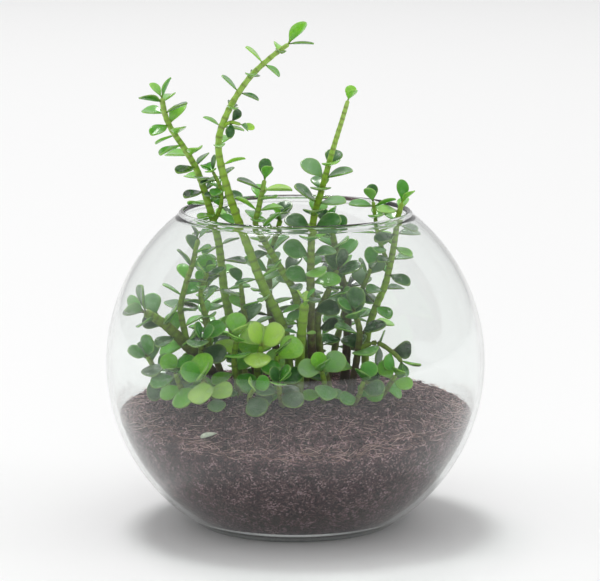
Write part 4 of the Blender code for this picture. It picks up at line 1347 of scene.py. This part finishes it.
@dataclass
class Stem:
    """One stem of a shoot, or one side branch, with its leaves."""

    line: StemLine
    radius: float
    radius_top: float
    growth: Growth
    start: float
    blades: list[Blade] = field(default_factory=list)

    frame_sides = 6
    frame_step = 0.016
    sides = 14
    ring_step = 0.0013
    turn_spread = 16
    pitch_spread = 9
    roll_spread = 18
    length_spread = (0.84, 1.14)
    light_pull = (0.3, 0.8)
    tip_pitch = 34
    tip_closing = 8
    last_dropped = 0.8           # leaves above this share of the way up never drop
    tip_inset = 0.0006
    knot_swell = 0.16            # how much thicker it is where leaves grow
    knot_swell_mm = 1.8
    pinch = 0.05                 # the fine ring inside that swelling
    pinch_mm = 0.5
    knot_mm = 0.7
    tip_mm = 1.6                 # length of the rounded end
    uneven = 0.06
    uneven_mm = 3.5

    def radius_at(self, distance: float) -> float:
        """The plain taper's radius, in metres."""
        return (self.radius + (self.radius_top - self.radius) * distance / self.line.length) * MM

    def frame_shape(self, swell: float) -> tuple[Points, Faces]:
        """The plain tapering stem, as its solid is in the frame.

        Args:
            swell: Air added around it.

        Returns:
            Points and faces.
        """
        count = max(2, math.ceil(self.line.length / self.frame_step))
        points: Points = []
        for ring in range(count + 1):
            distance = self.line.length * ring / count
            middle, direction = self.line.at(distance)
            for step in range(self.frame_sides):
                outward = around(direction, 360 * step / self.frame_sides)
                points.append(middle + outward * (self.radius_at(distance) + swell))
        return points, tube_faces(count + 1, self.frame_sides)

    def pairs(self) -> list[tuple[float, float]]:
        """Distances of the leaf pairs, with each one's share of the way up.

        Returns:
            Pairs of distance and share.
        """
        growth = self.growth
        places = []
        lowest = self.start + growth.first * MM
        distance = lowest
        while distance < self.line.length - 0.001:
            share = (distance - lowest) / max(self.line.length - lowest, 0.001)
            places.append((distance, share))
            distance += (growth.gap + (growth.gap_top - growth.gap) * share) * MM
        places.append((self.line.length - self.tip_inset, 1.0))
        return places

    def grow(self, owner: str, space: Space) -> None:
        """Opposite leaves, each pair turned a quarter from the last, clear of the rest.

        Args:
            owner: The shoot's name.
            space: What stands in the bowl; the new leaves are added to it.
        """
        growth = self.growth
        chance = random.Random(growth.seed)
        bare = [self.start + edge * MM for edge in growth.bare]
        for index, (distance, share) in enumerate(self.pairs()):
            place, direction = self.line.at(distance)
            for side in (0, 180):
                turn = growth.turn + 90 * index + side + chance.uniform(-self.turn_spread, self.turn_spread)
                pitch = growth.pitch + (growth.pitch_top - growth.pitch) * share
                pitch += chance.uniform(-self.pitch_spread, self.pitch_spread)
                roll = chance.uniform(-self.roll_spread, self.roll_spread)
                length = (growth.size + (growth.size_top - growth.size) * share) * MM
                length *= chance.uniform(*self.length_spread)
                light = Vector(growth.light) * chance.uniform(*self.light_pull)
                if share == 1.0:
                    pitch = min(pitch, self.tip_pitch) - self.tip_closing
                    length *= growth.tip
                dropped = chance.random() < growth.missing and share < self.last_dropped
                if dropped or bare[0] < distance < bare[1]:
                    continue
                for extra_turn, extra_pitch, scale in TRIES:
                    blade = Blade.grown(place, direction, self.radius_at(distance), turn + extra_turn,
                                        pitch + extra_pitch, roll, light, length * scale, growth.broad)
                    if (space.is_clear(*blade.cage(LEAF_MARGIN, whole=False))
                            and space.is_clear(*blade.cage(LEAF_MARGIN), but=owner)):
                        space.add(owner, *blade.cage(LEAF_MARGIN))
                        blade.share = share
                        self.blades.append(blade)
                        break

    def surface(self) -> tuple[Points, Faces, dict[str, list[float]]]:
        """The real stem: it swells at every pair of leaves, with a fine ring there.

        Returns:
            Points, faces and the values that its finish reads.
        """
        count = max(8, round(self.line.length / self.ring_step))
        knots = [distance for distance, share in self.pairs() if share < 1.0]
        knots += [(a + b) / 2 for a, b in zip(knots, knots[1:])]
        points: Points = []
        values: dict[str, list[float]] = {"along": [], "knot": []}
        for ring in range(count + 1):
            distance = self.line.length * ring / count
            middle, direction = self.line.at(distance)
            near = min((abs(distance - knot) for knot in knots), default=1.0)
            swell = (self.knot_swell * math.exp(-(near / (self.knot_swell_mm * MM)) ** 2)
                     - self.pinch * math.exp(-(near / (self.pinch_mm * MM)) ** 2))
            left = (self.line.length - distance) / (self.tip_mm * MM)
            closing = math.sqrt(max(1 - (1 - left) ** 2, 0.0)) if left < 1 else 1.0
            size = self.radius_at(distance) * (1 + swell) * max(closing, 0.12)
            for step in range(self.sides):
                outward = around(direction, 360 * step / self.sides)
                uneven = 1 + self.uneven * noise.noise((middle + outward * size) / (self.uneven_mm * MM))
                points.append(middle + outward * size * uneven)
                values["along"].append(distance / self.line.length)
                values["knot"].append(math.exp(-(near / (self.knot_mm * MM)) ** 2))
        return points, tube_faces(count + 1, self.sides), values


@dataclass
class Planting:
    """Every rooted shoot, grown in order, so that each keeps clear of those before it."""

    shoots: tuple[Shoot, ...]
    leaf: Finish = field(default_factory=JadeLeaf)
    stem: Finish = field(default_factory=JadeStem)

    seed_offset = 900            # from the draws of a shoot's growth to those of its looks
    tone_spread = (-0.42, 0.32)
    tip_tone = 0.14              # how much lighter the youngest leaves are
    most_pale = 0.6

    @staticmethod
    def stems_of(shoot: Shoot) -> list[Stem]:
        """The main stem, from its buried end, and the side branches.

        Args:
            shoot: The shoot.

        Returns:
            Its stems, with no leaves yet.
        """
        foot = Vector(shoot.route[0])
        root = foot - (Vector(shoot.route[1]) - foot).normalized() * (ROOT_DEPTH / MM)
        main_line = StemLine([root, *shoot.route])
        stems = [Stem(main_line, shoot.radius, shoot.radius_top, shoot.growth, ROOT_DEPTH)]
        for branch in shoot.branches:
            stems.append(Stem(StemLine(branch.route), branch.radius, branch.radius_top,
                              branch.growth, 0.0))
        return stems

    def grow(self) -> list[tuple[Shoot, list[Stem]]]:
        """Grow every shoot's leaves around the bowl, the soil and each other.

        Returns:
            The shoots with their stems.
        """
        space = Space()
        for name in ("glass_bowl", "potting_soil"):
            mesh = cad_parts[name].data
            space.add(name, [vert.co.copy() for vert in mesh.vertices],
                      [tuple(face.vertices) for face in mesh.polygons])
        grown = [(shoot, self.stems_of(shoot)) for shoot in self.shoots]
        for shoot, stems in grown:
            for stem in stems:
                space.add(shoot.name, *stem.frame_shape(STEM_MARGIN))
        for shoot, stems in grown:
            for stem in stems:
                stem.grow(shoot.name, space)
        return grown

    def build_shoot(self, shoot: Shoot, stems: list[Stem]) -> bpy.types.Object:
        """One shoot as one piece: stems in their skin and leaves in theirs.

        Args:
            shoot: The shoot.
            stems: Its grown stems.

        Returns:
            The dressed piece.
        """
        chance = random.Random(shoot.growth.seed + self.seed_offset)
        foot_age, tip_age, tone = AGES.get(shoot.name, USUAL_AGE)
        points: Points = []
        faces: Faces = []
        skins: list[int] = []
        values: dict[str, list[float]] = {
            name: [] for name in ("age", "knot", "tone", "rim", "foot", "pale")}

        def add(new_points: Points, new_faces: Faces, skin: int,
                new_values: dict[str, list[float]]) -> None:
            """Join a part to the shoot: a value that it lacks is 0.

            Args:
                new_points: The part's points.
                new_faces: Its faces, numbered from 0.
                skin: 0 for stem, 1 for leaf.
                new_values: Its values by name.
            """
            base = len(points)
            points.extend(new_points)
            faces.extend(tuple(base + corner for corner in face) for face in new_faces)
            skins.extend([skin] * len(new_faces))
            for name, numbers in values.items():
                numbers.extend(new_values.get(name, [0.0] * len(new_points)))

        for number, stem in enumerate(stems):
            stem_points, stem_faces, stem_values = stem.surface()
            oldest = min(foot_age, BRANCH_AGE) if number else foot_age
            ages = [oldest + (tip_age - oldest) * share ** 0.8 for share in stem_values["along"]]
            add(stem_points, stem_faces, 0, {"age": ages, "knot": stem_values["knot"]})
            for blade in stem.blades:
                blade_points, blade_values = blade.surface(chance)
                own = tone + chance.uniform(*self.tone_spread) + self.tip_tone * blade.share ** 3
                pale = self.most_pale * chance.random() ** 4
                count = len(blade_points)
                rings = count // blade.sides
                add(blade_points, tube_faces(rings, blade.sides), 1,
                    {**blade_values, "tone": [own] * count, "pale": [pale] * count})
        piece = mesh_piece(shoot.name + "_grown", points, faces)
        piece.data.materials.append(self.stem.material())
        piece.data.materials.append(self.leaf.material())
        piece.data.polygons.foreach_set("material_index", skins)
        paint_values(piece, {name: np.array(numbers) for name, numbers in values.items()})
        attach(piece, "root")
        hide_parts(shoot.name)
        return piece

    def build(self) -> list[bpy.types.Object]:
        """Grow and build every shoot.

        Returns:
            The pieces.
        """
        pieces = []
        for shoot, stems in self.grow():
            piece = self.build_shoot(shoot, stems)
            log.info("%s: %d leaves", piece.name, sum(len(stem.blades) for stem in stems))
            pieces.append(piece)
        return pieces


@dataclass
class FallenLeaf:
    """A dropped leaf that dries on the soil, where its solid lies in the frame."""

    heading: float = 205.0
    length: float = 0.011
    broad: float = 0.8
    seed: int = 3
    finish: Finish = field(default_factory=DryLeaf)

    def build(self) -> bpy.types.Object:
        """Lay the leaf in its solid's box and dress it.

        Returns:
            The dressed piece.
        """
        low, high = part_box("fallen_leaf")
        heading = math.radians(self.heading)
        along = Vector((math.cos(heading), math.sin(heading), 0.0))
        tilt = Vector((0, 0, 1)).cross(along)
        middle = (low + high) / 2
        foot = middle - along * (self.length / 2)
        blade = Blade(foot, along, tilt, Vector((0, 0, 1)), 0.0, self.length, self.broad)
        points, _ = blade.surface(random.Random(self.seed))
        lift = high.z - max(point.z for point in points)
        points = [point + Vector((0, 0, lift)) for point in points]
        piece = mesh_piece("fallen_leaf_dried", points, tube_faces(len(points) // blade.sides, blade.sides))
        piece.data.materials.append(self.finish.material())
        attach(piece, "root")
        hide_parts("fallen_leaf")
        return piece


# ---------------------------------------------------------------- the studio

@dataclass
class Softbox:
    """A round lamp that faces the bowl."""

    name: str
    place: Triple
    size: float
    power: float
    mirrored: bool = True        # off for a fill that leaves no patch on the glass

    def build(self, target: Vector) -> None:
        """Hang the lamp and turn it to the target.

        Args:
            target: The place that it faces.
        """
        lamp = bpy.data.lights.new(self.name, "AREA")
        lamp.shape = "DISK"
        lamp.size = self.size
        lamp.energy = self.power
        piece = in_scene(self.name, lamp)
        piece.location = self.place
        piece.visible_glossy = self.mirrored
        piece.visible_transmission = self.mirrored
        piece.rotation_euler = (target - Vector(self.place)).to_track_quat("-Z", "Y").to_euler()


@dataclass
class Studio:
    """Pale floor, bright surroundings that dim towards the front, soft lamps and the camera."""

    floor_size: float = 16.0
    sky: str = "ffffff"
    wall: str = "f4f4f4"
    front: str = "686868"
    strength: float = 0.77
    dim_from: float = -0.9       # along Y, from the front's shade to the wall's
    dim_to: float = 0.6
    sky_from: float = 0.3        # along Z, from the wall's shade to the sky's
    sky_to: float = 0.9
    aim: Triple = (0.0, 0.0, 0.14)
    lens: float = 158.0
    sensor: float = 36.0
    camera_place: Triple = (0.0, -1.710192, 0.447730)
    camera_tilt: float = 90 - 9.766
    camera_turn: float = -0.1
    lamps: tuple[Softbox, ...] = (
        Softbox("top_softbox", (-1.5, 3.4, 8.8), 2.8, 380.0),
        Softbox("front_fill", (0.0, -2.4, 0.6), 1.5, 14.0, mirrored=False),
        Softbox("left_fill", (-2.4, -0.3, 0.5), 1.2, 11.0, mirrored=False),
        Softbox("right_fill", (2.4, -0.3, 0.5), 1.2, 11.0, mirrored=False),
    )
    floor_finish: Finish = field(default_factory=PaleFloor)

    def build_floor(self) -> None:
        """A floor that reaches past every view."""
        half = self.floor_size / 2
        corners = [(-half, -half, 0), (half, -half, 0), (half, half, 0), (-half, half, 0)]
        floor = mesh_piece("studio_floor", corners, [(0, 1, 2, 3)])
        floor.data.materials.append(self.floor_finish.material())

    def build_world(self) -> None:
        """Bright surroundings, brighter overhead and dimmer in front, which gives the leaves shape."""
        world = bpy.data.worlds.new("studio_air")
        world.use_nodes = True
        tree = world.node_tree
        tree.nodes.clear()
        way = add_node(tree, "ShaderNodeTexCoord").outputs["Generated"]
        parts = add_node(tree, "ShaderNodeSeparateXYZ", {0: way})
        ahead = add_node(tree, "ShaderNodeMapRange", {
            "Value": parts.outputs["Y"], "From Min": self.dim_from, "From Max": self.dim_to})
        around_us = add_node(tree, "ShaderNodeMix", {0: ahead.outputs[0], MIX_A: linear(self.front),
                                                     MIX_B: linear(self.wall)}, data_type="RGBA")
        rise = add_node(tree, "ShaderNodeMapRange", {
            "Value": parts.outputs["Z"], "From Min": self.sky_from, "From Max": self.sky_to})
        colour = add_node(tree, "ShaderNodeMix", {0: rise.outputs[0], MIX_A: around_us.outputs[MIX_RESULT],
                                                  MIX_B: linear(self.sky)}, data_type="RGBA")
        air = add_node(tree, "ShaderNodeBackground", {"Color": colour.outputs[MIX_RESULT],
                                                     "Strength": self.strength})
        add_node(tree, "ShaderNodeOutputWorld", {"Surface": air.outputs[0]})
        bpy.context.scene.world = world

    def build_camera(self) -> None:
        """A long lens at table height, looking slightly down."""
        lens = bpy.data.cameras.new("studio_camera")
        lens.lens = self.lens
        lens.sensor_width = self.sensor
        camera = in_scene("studio_camera", lens)
        camera.location = self.camera_place
        camera.rotation_euler = (math.radians(self.camera_tilt), 0.0, math.radians(self.camera_turn))
        bpy.context.scene.camera = camera

    def build(self) -> None:
        """Set up the whole studio."""
        self.build_floor()
        self.build_world()
        self.build_camera()
        for lamp in self.lamps:
            lamp.build(Vector(self.aim))
        bpy.context.scene.view_settings.view_transform = "Standard"


def main() -> None:
    """Build the studio, the bowl, the soil, the shoots and the fallen leaf."""
    logging.basicConfig(level=logging.INFO, format="%(name)s: %(message)s")
    Studio().build()
    bowl = GlassBowl()
    glass = bowl.build()
    bowl.dress(glass)
    log.info("%s: %d faces", glass.name, len(glass.data.polygons))
    for piece in PottingSoil(bowl).build():
        log.info("%s: %d faces", piece.name, len(piece.data.polygons))
    Planting(SHOOTS).build()
    leaf = FallenLeaf().build()
    log.info("%s: %d faces", leaf.name, len(leaf.data.polygons))


if __name__ == "__main__":
    main()
